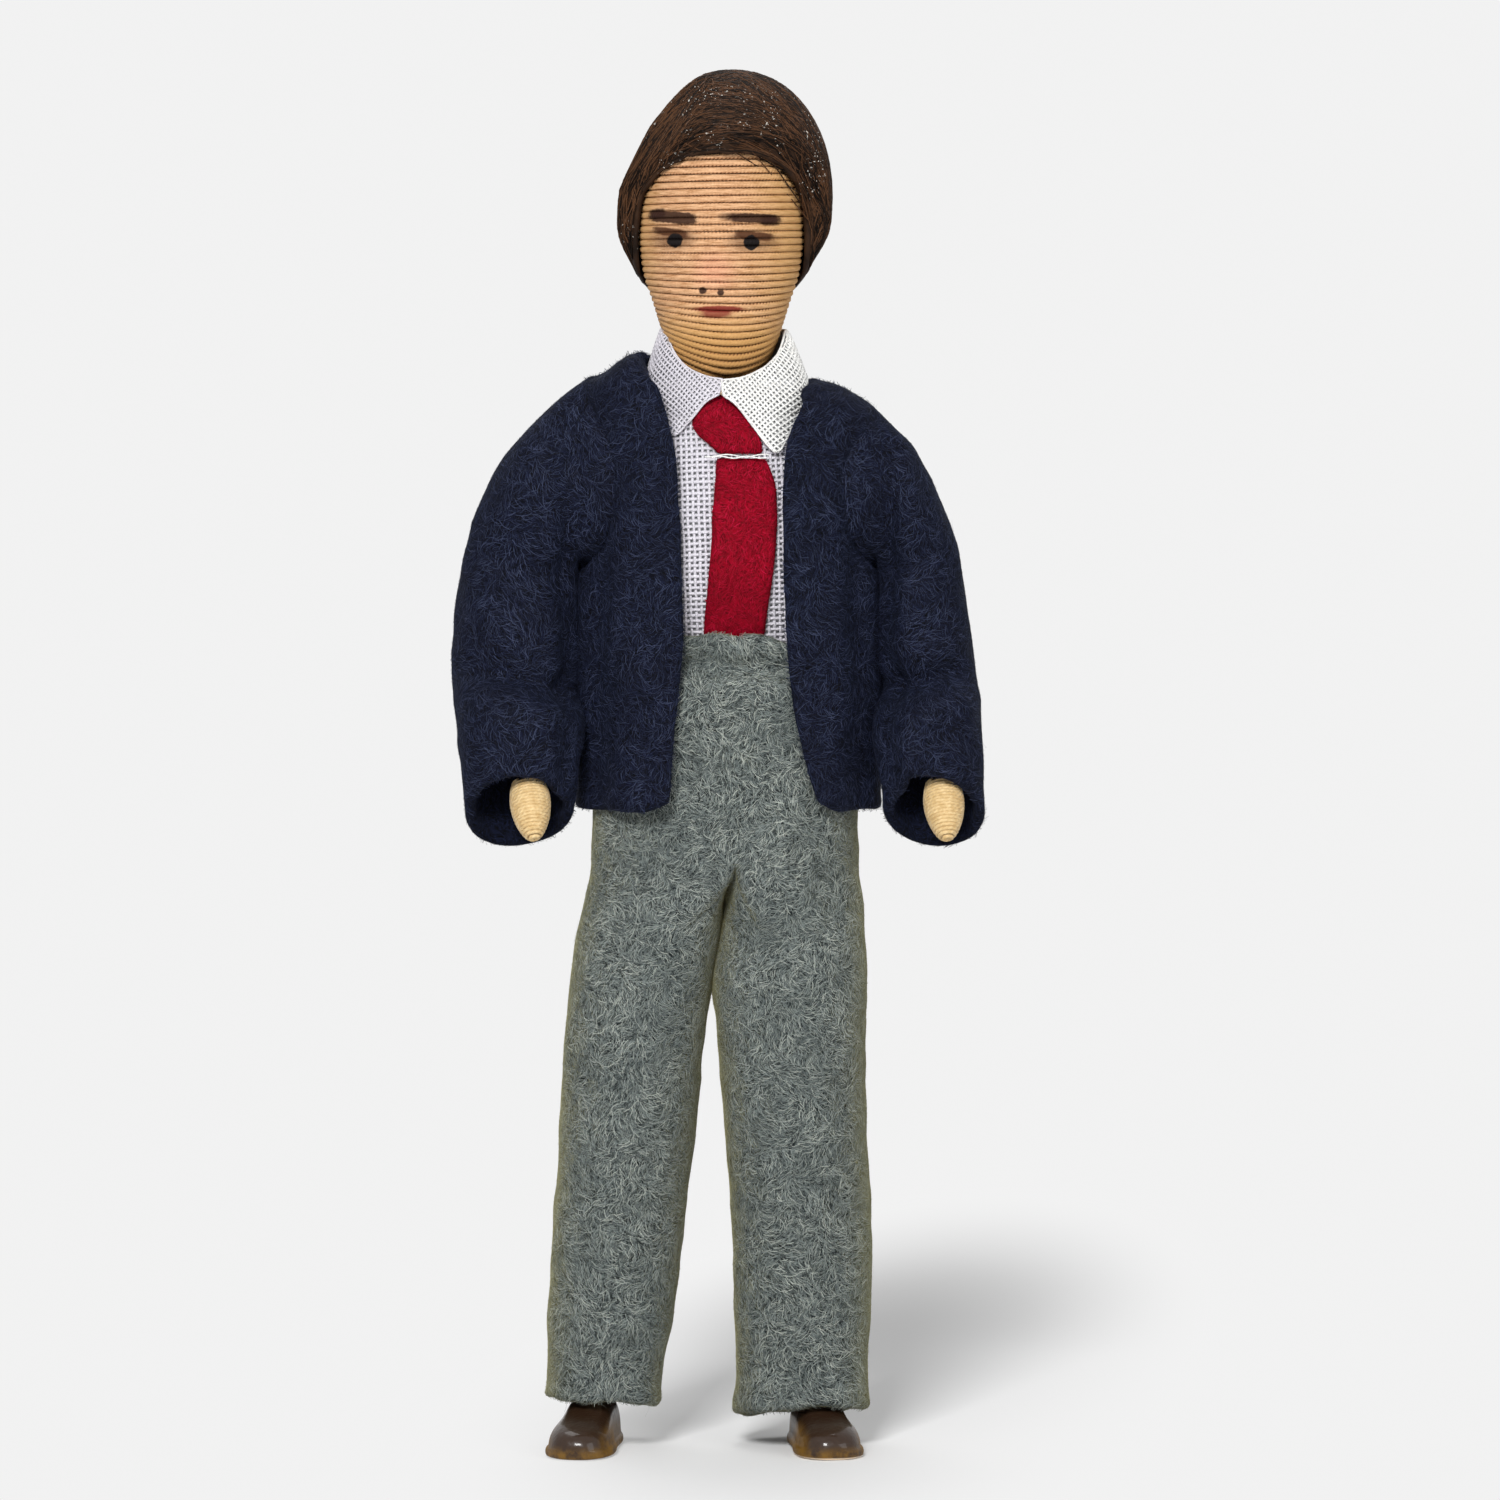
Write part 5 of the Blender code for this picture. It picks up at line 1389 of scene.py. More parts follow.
    def build_collar(self) -> None:
        """Makes the two leaves, which meet at the back, and their weave."""
        for side in Side:
            first = self.collar_edges[side][0][0]
            turns = spread(first, 60, 26) + spread(60, 180, 18)[1:]
            if side is Side.RIGHT:
                turns = turns[::-1]
            rows = [[self.collar_point(side, turn, down, 0.0) for turn in turns]
                    for down in spread(0, 1, 9)]
            leaf = self.cloth("collar_leaf_" + side.label, rows)
            paths = self.collar_weave.paths(16, (11.5, 108.5), self.on_collar(side))
            rims = [[self.collar_point(side, turn, down, 0.12) for turn in turns]
                    for down in (0.0, 1.0)]
            rims.append([self.collar_point(side, first, down, 0.12) for down in spread(0, 1, 9)])
            # the leaf on the doll's right takes the darker copy of the thread as painted shade
            weave = threads("collar_weave_" + side.label, paths + rims, self.collar_weave.thread,
                            SHIRT_THREAD.look() if side is Side.LEFT else SHADED_SHIRT_THREAD.look(), 4)
            replaced = ["shirt_collar"] if side is Side.LEFT else []
            place(leaf, Carry("torso"), "shirting", replaced)
            place(weave, Carry("torso"), "shirting")

    def build_front(self) -> None:
        """Makes the shirt front and its open weave."""
        rows = []
        for height in spread(105.2, 80.3, 16):
            half = read(self.sections, height)[0] * 0.86
            rows.append([self.front(x, height, 0.0) for x in spread(JACKET_X - half, JACKET_X + half, 17)])
        ground = self.cloth("shirt_cloth", rows)

        def locate(across: float, up: float, lift: float) -> Vector | None:
            """The shirt's point there, or None where the jacket hides it."""
            if not (-6.4 < across < 8.6 and 81.5 < up < 105.4):
                return None
            wander = 0.10 * noise(Vector((across * 0.3, up * 0.3, 4)))
            return self.front(across + wander, up - wander, self.cloth_rise + lift)

        # the shirt front's weave takes the darker copy of the thread as painted shade
        weave = threads("shirt_weave", self.weave.paths(18, (1.0, 93.5), locate), self.weave.thread,
                        SHADED_SHIRT_THREAD.look(), 5)
        carry = Carry("pelvis", "torso", (SPINE_X, SPINE_Y, WAIST_Z), (SPINE_X, SPINE_Y, 86.0))
        place(ground, carry, "shirting", ["shirt_front"])
        place(weave, carry, "shirting")

    def build_tie(self) -> None:
        """Makes the knot, the blade and the thread that ties them."""
        knot = ((101.3, 0.0, 4.6), (102.1, -0.7, 4.6), (103.0, -1.7, 4.4), (104.0, -2.6, 4.0),
                (105.0, -2.8, 3.8), (106.0, -2.2, 3.2), (106.7, -1.4, 2.4), (107.4, -0.7, 1.7))
        blade = ((82.1, -1.5, 4.7), (84.0, -1.4, 4.9), (91.3, -0.8, 5.9), (97.9, -0.4, 6.0),
                 (99.8, -0.2, 5.4), (101.0, -0.1, 4.8))
        for solid, table, lift, steps in (("tie_knot", knot, 1.15, 9), ("tie_blade", blade, 1.05, 18)):
            rows = []
            for height in spread(table[-1][0], table[0][0], steps):
                left, right = read(table, height)
                ragged = 0.16 * noise(Vector((0.3, height * 1.1, 7)))
                bulge = 0.25 * sin(pi * (height - table[0][0]) / (table[-1][0] - table[0][0]))
                under = 0.75 * smooth(height, 102.6, 104.8) + 0.7 * smooth(height, 105.8, 107.2)
                rows.append([self.front(x, height, lift + bulge - under)
                             for x in spread(left + ragged, right - ragged, 8)])
            TIE_FELT.cut(solid + "_felt", TIE_FELT.rumple(rows, False), False, Carry("torso"), [solid],
                         is_sheet=False)
        line = [self.front(x, 101.15 + 0.12 * sin(x * 1.7), 1.45) for x in spread(-1.3, 5.1, 24)]
        second = [self.front(x, 101.0 + 0.1 * sin(x * 2.3 + 1), 1.5) for x in spread(-0.6, 4.9, 20)]
        stitch = threads("tie_stitch", [line, second], 0.07, SHIRT_THREAD.look(), 6)
        place(stitch, Carry("torso"), "shirting", ["tie_thread"])

    def build(self) -> None:
        """Makes everything above the waist that isn't the jacket."""
        self.build_front()
        self.build_collar()
        self.build_tie()


# The jacket

@dataclass
class Jacket:
    """A felt jacket that hangs open, and its sleeves."""

    sections: Rows = ((64.9, 15.5, 9.6), (68.0, 15.55, 9.5), (74.0, 15.55, 9.2), (80.0, 15.5, 9.0),
                      (90.0, 15.4, 8.9), (98.0, 15.4, 8.9), (103.0, 15.4, 8.8), (105.5, 15.4, 8.5),
                      (107.0, 14.9, 8.2), (108.0, 13.8, 8.0), (108.9, 12.2, 7.7), (109.7, 10.4, 7.4),
                      (110.3, 8.9, 7.2), (110.8, 7.9, 7.0))
    armhole_middle: float = 98.2
    armhole_half_height: float = 9.2
    armhole_half_depth: float = 6.0
    droop: float = 1.5
    edges = {
        Side.RIGHT: ((65.6, -5.0), (74.4, -4.3), (82.5, -3.5), (94.6, -3.8), (102.6, -4.6),
                     (109.7, -6.9), (111.1, -7.2)),
        Side.LEFT: ((65.2, 10.5), (76.4, 7.75), (86.5, 6.75), (96.6, 6.55), (102.6, 7.05),
                    (107.1, 8.4), (109.5, 8.6), (111.1, 8.2)),
    }

    def point(self, height: float, angle: float, swell: float = 0.0) -> Vector:
        """A point of the jacket's outside; angle 0 is the front, a quarter turn the left."""
        half = tuple(reach + swell for reach in read(self.sections, height))
        return self.drooped(section((JACKET_X, TORSO_Y), half, angle, height))

    def drooped(self, point: Vector) -> Vector:
        """Tips the shoulders a little, down to the doll's left."""
        rise = max(0.0, min(1.0, (point.z - SHOULDER_Z) / 8.6))
        sunk = 1.2 * smooth(point.x, 13, 7.5) * smooth(point.x, 3, 7) * smooth(point.z, 105, 109)
        fold = hump(point.x, -9.2, 1.3) - hump(point.x, -11.9, 1.3)
        sunk -= 0.5 * fold * smooth(point.z, 106.5, 109.0)
        return point - Vector((0, 0, self.droop * rise * (point.x - JACKET_X) / 15.2 + sunk))

    def opening(self, height: float) -> float:
        """Half the angle that the armhole takes out of the side at a height."""
        share = (height - self.armhole_middle) / self.armhole_half_height
        if abs(share) >= 1:
            return 0.0
        reach = self.armhole_half_depth * sqrt(1 - share ** 2)
        return asin((reach / read(self.sections, height)[1]) ** (BODY_POWER / 2))

    def swell(self, height: float, angle: float) -> float:
        """Soft folds: broad waves that fade towards the shoulders, and a fuller chest."""
        hang = smooth(height, 98, 68) * cos(angle) ** 2
        waves = 0.35 * sin(4 * angle + 0.05 * height) + 0.25 * sin(7 * angle + 1.3)
        chest = 0.5 * hump(height, 92, 9) * max(0.0, cos(angle)) ** 2
        turn = abs(remainder(angle, 2 * pi))
        valley = 1.1 * hump(turn, 1.05, 0.22) * smooth(height, 106, 98)
        return hang * waves + chest - valley + 0.08 * smooth(height, 92, 86)

    def heights(self) -> list[float]:
        """Rows from the neck to the hem, closer round the armhole."""
        top = self.armhole_middle + self.armhole_half_height
        ring = [self.armhole_middle + self.armhole_half_height * cos(turn)
                for turn in spread(0, pi, 15)]
        return spread(110.6, top, 6)[:-1] + ring + spread(ring[-1], 65.2, 15)[1:]

    def build(self) -> None:
        """Makes the body panels and both sleeves."""
        back: list[list[Vector]] = []
        fronts: dict[Side, list[list[Vector]]] = {Side.LEFT: [], Side.RIGHT: []}
        quarter = pi / 2
        for height in self.heights():
            opening = self.opening(height)
            angles = spread(quarter + opening, 3 * quarter - opening, 25)
            back.append([self.point(height, angle, self.swell(height, angle)) for angle in angles])
            half_width = read(self.sections, height)[0]
            for side, rows in fronts.items():
                x = read(self.edges[side], height)[0]
                share = max(-0.97, min(0.97, (x - JACKET_X) / half_width))
                edge = asin(copysign(abs(share) ** (BODY_POWER / 2), share))
                corner = 1.1 if side is Side.LEFT else 2.0
                ends = (edge, quarter - opening) if side is Side.LEFT else (opening - quarter, edge)
                row = []
                for angle in spread(*ends, 16):
                    point = self.point(height, angle, self.swell(height, angle))
                    away = abs(angle - edge) * half_width
                    point.z -= corner * hump(away, 0, 1.6) * smooth(height, 107.5, 111.1)
                    point.z += 1.1 * hump(away, 0, 1.5) * smooth(height, 68.0, 65.2)
                    row.append(point + Vector((0, -0.45 * hump(away, 0, 2.2), 0)))
                rows.append(row)
        carry = Carry("pelvis", "torso", (SPINE_X, SPINE_Y, 68.0), (SPINE_X, SPINE_Y, 88.0))
        JACKET_FELT.cut("jacket_back_felt", JACKET_FELT.rumple(back, False), False, carry,
                        ["jacket_back"])
        for side, rows in fronts.items():
            JACKET_FELT.cut("jacket_front_felt_" + side.label, JACKET_FELT.rumple(rows, False), False,
                            carry, ["jacket_front_" + side.label])
        for side in Side:
            Sleeve(self, side).build()


@dataclass
class Sleeve:
    """A felt sleeve from the armhole, round the elbow and forward to its open cuff."""

    jacket: Jacket
    side: Side
    cuff_half_depth: float = 5.2
    cuff_tilt: float = 0.80
    count: int = 31
    columns: int = 30
    split_z: float = 89.5

    stations = {
        Side.RIGHT: ((0.09, 0.44, 0.44, 0.0), (0.195, 0.70, 0.48, 0.0), (0.345, 0.91, 0.53, 0.0),
                     (0.50, 1.0, 0.60, 0.0), (0.625, 1.04, 0.67, 0.0), (0.73, 1.01, 0.75, 0.0),
                     (0.86, 0.96, 0.87, 0.01), (1.0, 0.92, 0.98, 0.06)),
        Side.LEFT: ((0.125, 0.34, 0.44, 0.0), (0.225, 0.56, 0.48, 0.0), (0.345, 0.75, 0.53, 0.0),
                    (0.50, 0.87, 0.60, 0.0), (0.625, 0.92, 0.67, 0.0), (0.73, 0.98, 0.75, 0.0),
                    (0.86, 1.0, 0.87, 0.01), (1.0, 1.01, 0.98, 0.06)),
    }
    full_width = {Side.RIGHT: 12.8, Side.LEFT: 10.8}

    def arm_line(self, height: float) -> Pair:
        """The arm's depth and forward tilt at a height."""
        top, bend, end = SHOULDERS[self.side], ELBOWS[self.side], WRISTS[self.side]
        if height >= bend.z:
            share = (top.z - height) / (top.z - bend.z)
            return top.y + (bend.y - top.y) * share, 0.0
        share = min(1.0, (bend.z - height) / (bend.z - end.z))
        return bend.y + (end.y - bend.y) * share, self.cuff_tilt * share

    def armhole_ring(self, inset: float, size: float = 1.0) -> list[Vector]:
        """A ring of the armhole's shape, some way inside the jacket."""
        jacket, sign, ring = self.jacket, self.side.value, []
        for angle in round_angles(self.columns):
            rise = sign * (jacket.armhole_half_height + 0.1) * size * sin(angle)
            height = jacket.armhole_middle + rise
            forward = (jacket.armhole_half_depth + 0.1) * size * cos(angle)
            half_width, half_depth = read(jacket.sections, height)
            reach = half_width * (1 - (abs(forward) / half_depth) ** BODY_POWER) ** (1 / BODY_POWER)
            ring.append(jacket.drooped(Vector((JACKET_X + sign * (reach - inset), TORSO_Y - forward,
                                               height))))
        return ring

    def key_rings(self) -> Grid:
        """The sleeve's ring at the armhole and at each station."""
        sign, jacket = self.side.value, self.jacket
        rings = [self.armhole_ring(1.0), self.armhole_ring(0.0)]
        side_x = JACKET_X + sign * 14.9
        top = jacket.armhole_middle + jacket.armhole_half_height
        length = top - WRISTS[self.side].z + 3.6
        width = self.full_width[self.side]
        stations = self.stations[self.side]
        for index, (out_down, out_reach, in_down, in_reach) in enumerate(stations, 1):
            outer = Vector((side_x + sign * width * out_reach, 0, top - length * out_down))
            inner = Vector((side_x + sign * width * in_reach, 0, top - length * in_down))
            centre = (outer + inner) / 2
            centre.y, lean = self.arm_line(centre.z)
            share = index / len(stations)
            deep = jacket.armhole_half_depth * (1 - share) + self.cuff_half_depth * share
            front = Vector((0, -cos(lean), sin(lean))) * deep
            left = (outer - inner) / 2 * sign
            rings.append([centre + left * blunt(sin(angle), 2.1) + front * blunt(cos(angle), 2.1)
                          for angle in round_angles(self.columns)])
        return rings

    def creased(self, rows: Grid) -> Grid:
        """Presses in the creases at the elbow and the soft folds above it."""
        deep = 2.1 if self.side is Side.LEFT else 1.2
        found = []
        for row in rows:
            centre = mean(row)
            moved = []
            for angle, point in zip(round_angles(len(row)), row):
                out = (point - centre).normalized()
                outward = self.side.value * sin(angle)
                tilt = point.z - 0.22 * self.side.value * (point.x - centre.x)
                front = max(0.0, cos(angle + 0.45 * self.side.value)) ** 0.7
                crease = deep * hump(tilt, 78.6, 1.1)
                crease += 0.8 * hump(tilt - 90, 1.5 * outward, 1.4)
                puff = 0.8 * hump(tilt, 75.0, 2.4) + 0.5 * hump(tilt, 83, 3)
                wave = 0.2 * sin(2 * angle + 0.4 * point.z) * max(0.0, cos(angle)) ** 2
                fade = smooth(point.z, 103, 96)
                tuck = hump(abs(point.x - JACKET_X), 15.8, 1.1) * max(0.0, cos(angle))
                tuck *= 1.7 * smooth(point.z, 107, 103)
                moved.append(point + out * (((puff - crease) * front + wave) * fade - tuck))
            found.append(moved)
        return found

    def build(self) -> None:
        """Makes the sleeve in two pieces that meet halfway down the upper arm."""
        rows = JACKET_FELT.rumple(self.creased(between_rings(self.key_rings(), self.count)), True)
        split = min(range(len(rows)), key=lambda row: abs(mean(rows[row]).z - self.split_z))
        word, shoulder, bend = self.side.label, SHOULDERS[self.side], ELBOWS[self.side]
        sign = self.side.value
        upper = Carry("shoulder_link_" + word, "upper_arm_" + word,
                      (shoulder.x - sign * 3.5, LIMB_Y, 101.0), (shoulder.x + sign * 0.5, LIMB_Y, 93.5))
        lower = Carry("upper_arm_" + word, "forearm_" + word, (bend.x, bend.y, bend.z + 5.5),
                      (bend.x, bend.y - 3.0, bend.z - 5.0))
        JACKET_FELT.cut("sleeve_upper_" + word, rows[:split + 1], True, upper,
                        ["jacket_sleeve_" + word], "low")
        JACKET_FELT.cut("sleeve_lower_" + word, rows[split:], True, lower, (), "top")
        self.build_linings(rows[:split + 3])

    def build_linings(self, rows: Grid) -> None:
        """Makes the felt that bunches in the sleeve's head and the side it lies on.

        Args:
            rows: the sleeve's rings from the armhole down.
        """
        rings = [[point - (point - mean(row)).normalized() * 2.0 for point in row] for row in rows]
        rings = [[point.lerp(mean(rings[0]), 0.5) for point in rings[0]]] + rings
        head = solid_loft("sleeve_lining_" + self.side.label, rings, NAVY.cloth(), 0)
        place(head, Carry("upper_arm_" + self.side.label), "jacket_felt")
        rings = [self.armhole_ring(2.1, 1.02), self.armhole_ring(1.5, 1.05), self.armhole_ring(1.5, 0.6),
                 self.armhole_ring(1.5, 0.15)]
        body = solid_loft("armhole_lining_" + self.side.label, rings, NAVY.cloth(), 0)
        place(body, Carry("torso"), "jacket_felt")


# The trousers

@dataclass
class Trousers:
    """Felt trousers: two halves of the seat that meet in a seam, and two legs in two lengths."""

    fork_high: float = 60.0
    fork_low: float = 46.5
    split: float = 44.0
    columns: int = 36
    seam_x: Rows = ((46.0, 0.7), (58.0, 1.7), (66.0, 2.2), (80.0, 2.6))
    seat: Rows = ((40.0, 14.7, 6.9), (48.0, 14.7, 7.1), (54.8, 14.0, 7.2), (60.0, 13.65, 7.4),
                  (66.0, 13.3, 7.7), (74.0, 12.9, 7.8), (80.0, 12.5, 7.6), (83.8, 12.0, 7.3))
    legs = {
        Side.LEFT: ((3.0, 8.55, 6.9), (4.6, 8.6, 6.75), (8.0, 8.6, 6.9), (13.0, 8.6, 7.1),
                    (20.0, 8.5, 7.3), (28.0, 8.1, 7.3), (33.0, 7.85, 7.3), (41.0, 7.6, 7.45),
                    (48.0, 7.35, 7.8), (52.0, 7.5, 7.5), (56.0, 7.5, 7.4), (60.0, 7.5, 6.95)),
        Side.RIGHT: ((4.8, -11.7, 5.75), (8.0, -11.5, 6.1), (13.0, -11.0, 6.55), (20.0, -10.5, 6.8),
                     (28.0, -9.75, 6.9), (33.0, -9.2, 7.0), (40.0, -8.6, 7.05), (48.0, -7.65, 7.15),
                     (52.0, -7.35, 7.35), (56.0, -6.95, 7.55), (60.0, -6.45, 7.25)),
    }
    hems = {Side.LEFT: (3.4, 1.1, 0.35, 0.18), Side.RIGHT: (4.6, 0.5, -0.3, 0.18)}

    def seat_point(self, side: Side, height: float, angle: float) -> Vector:
        """A point of one half's outside; angle runs from the front seam round to the back one."""
        half_width, half_depth = read(self.seat, height)
        x = SPINE_X + side.value * half_width * blunt(abs(sin(angle)), BODY_POWER)
        y = TORSO_Y - half_depth * blunt(cos(angle), BODY_POWER)
        return Vector((x + self.seam_lean(height, angle), y + self.seam_dip(angle, height), height))

    def seam_lean(self, height: float, angle: float) -> float:
        """How far to the doll's left the front seam leans."""
        return (read(self.seam_x, height)[0] - SPINE_X) * max(0.0, cos(angle)) ** 2

    @staticmethod
    def seam_dip(angle: float, height: float) -> float:
        """How deep the front seam is drawn in."""
        away = remainder(angle, 2 * pi) * 13.0
        return 0.9 * hump(away, 0, 1.7) * smooth(height, 78, 68) * smooth(height, 60.0, 63.5)

    def leg_point(self, side: Side, height: float, turn: float) -> Vector:
        """A point of a leg; turn 0 is its front and it runs towards the doll's left."""
        outward = turn if side is Side.LEFT else (2 * pi - turn) % (2 * pi)
        middle, half_width = read(self.legs[side], height)
        half_depth = 5.9 + 0.9 * smooth(height, 4, 50)
        depth_middle = 0.6 - 0.9 * smooth(height, 8, 60)
        round_point = section((middle, depth_middle), (side.value * half_width, half_depth), outward,
                              height, 2.2)
        if outward <= pi:
            flat_point = self.seat_point(side, height, outward)
        else:
            deep = read(self.seat, height)[1]
            flat_point = Vector((SPINE_X + side.value * 0.04 + self.seam_lean(height, outward),
                                 TORSO_Y - (deep - 1.1) * cos(outward), height))
        return round_point.lerp(flat_point, smooth(height, self.fork_low, self.fork_high) ** 1.4)

    def folded(self, side: Side, point: Vector, turn: float) -> Vector:
        """Adds a leg's shallow folds and the soft flare of its hem."""
        centre = Vector((read(self.legs[side], point.z)[0], 0.2, point.z))
        out = (point - centre).normalized()
        calm = smooth(point.z, 58, 44)
        folds = 0.14 * sin(2 * turn + 0.09 * point.z) + 0.12 * sin(3 * turn - 0.14 * point.z)
        ring = 0.3 * hump(point.z, 8.5, 2.2) * (0.5 + 0.5 * cos(turn))
        drape = 0.4 * hump(point.z, 4.4, 1.2)
        return point + out * (folds * calm - ring + drape)

    def hem(self, side: Side, turn: float) -> float:
        """How low the cloth hangs: highest over the shoe, a little wavy all round."""
        middle, lift, lean, wave = self.hems[side]
        return (middle + lift * cos(turn) + lean * sin(turn)
                + wave * sin(turn * 4 + 0.6) + 0.5 * wave * sin(turn * 9))

    def seat_rows(self, side: Side) -> Grid:
        """One half of the seat, with the tucks at the waist and its wavy edge."""
        rows = []
        for height in spread(82.9, self.fork_high, 22):
            row = []
            for angle in round_angles(self.columns)[:self.columns // 2 + 1]:
                point = self.seat_point(side, height, angle)
                out = Vector((side.value * sin(angle), -cos(angle), 0))
                tuck = 1.3 * hump(height - 79.6, 0.5 * sin(3 * angle), 0.9)
                soft = 0.25 * sin(2.2 * angle + 0.25 * height) * smooth(height, 61, 66)
                point += out * (soft - tuck)
                wave = sin(5.3 * angle + 1.0 + side.value) + 0.6 * sin(13 * angle)
                point.z += 0.45 * wave * smooth(height, 78, 83)
                row.append(point)
            rows.append(row if side is Side.LEFT else row[::-1])
        return rows

    def build(self) -> None:
        """Makes the seat halves and the legs."""
        for side in Side:
            word, hip, knee = side.label, HIPS[side], KNEES[side]
            carry = Carry("pelvis", "hip_link_" + word, (hip.x, hip.y, 74.0), (hip.x, hip.y, 60.6))
            TROUSER_FELT.cut("seat_half_" + word, TROUSER_FELT.rumple(self.seat_rows(side), False), False,
                             carry, ["trouser_seat"] if side is Side.LEFT else [], "low middle")
            turns = round_angles(self.columns)
            leg = []
            for share in spread(0.0, 1.0, 40):
                heights = [self.fork_high + (self.hem(side, turn) - self.fork_high) * share
                           for turn in turns]
                leg.append([self.folded(side, self.leg_point(side, height, turn), turn)
                            for height, turn in zip(heights, turns)])
            leg = TROUSER_FELT.rumple(leg, True)
            cut = sum(row[0].z > self.split for row in leg)
            upper = Carry("hip_link_" + word, "thigh_" + word, (hip.x, hip.y, 59.0), (hip.x, hip.y, 47.0))
            lower = Carry("thigh_" + word, "shin_" + word, (knee.x, knee.y, knee.z + 7.0),
                          (knee.x, knee.y, knee.z - 7.0))
            TROUSER_FELT.cut("leg_upper_" + word, leg[:cut + 1], True, upper, ["trouser_leg_" + word],
                             "top low")
            TROUSER_FELT.cut("leg_lower_" + word, leg[cut:], True, lower, (), "top")


# Hands, bindings and padding

@dataclass(frozen=True)
class WoundRod:
    """Thread wound round a straight length, with a solid core of the same finish under it."""

    name: str
    start: Vector
    end: Vector
    outline: Rows
    pitch: float
    thread: float
    body: str
    slot: str
    replaced: str
    finish: ThreadFinish
    capped: bool = False

    def build(self) -> None:
        """Makes the winding and places it."""
        material = self.finish.look()
        way = (self.end - self.start)
        length = way.length
        way.normalize()
        side = way.orthogonal().normalized()
        front = way.cross(side)

        def point(share: float, angle: float, sink: float, least: float) -> Vector:
            """A point some threads' radii inside the outline."""
            radius = max(read(self.outline, share)[0] - self.thread * sink, least)
            return (self.start + way * (length * share)
                    + (side * cos(angle) + front * sin(angle)) * radius)

        steps = 20
        many = length / self.pitch * steps
        path = [point(step / many, 2 * pi * step / steps, 1, 0.02) for step in range(int(many) + 1)]
        if self.capped:
            path.append(self.end + way * self.thread * 0.3)
        wound = threads(self.name, [path], self.thread, material, 8)
        rings = [[point(share, -angle, 1.15, 0.05) for angle in round_angles(14)]
                 for share in spread(0.0, 1.0, 9)]
        core = solid_loft(self.name + "_core", rings, material, 0)
        place(join(self.name, [wound, core]), Carry(self.body), self.slot, [self.replaced])


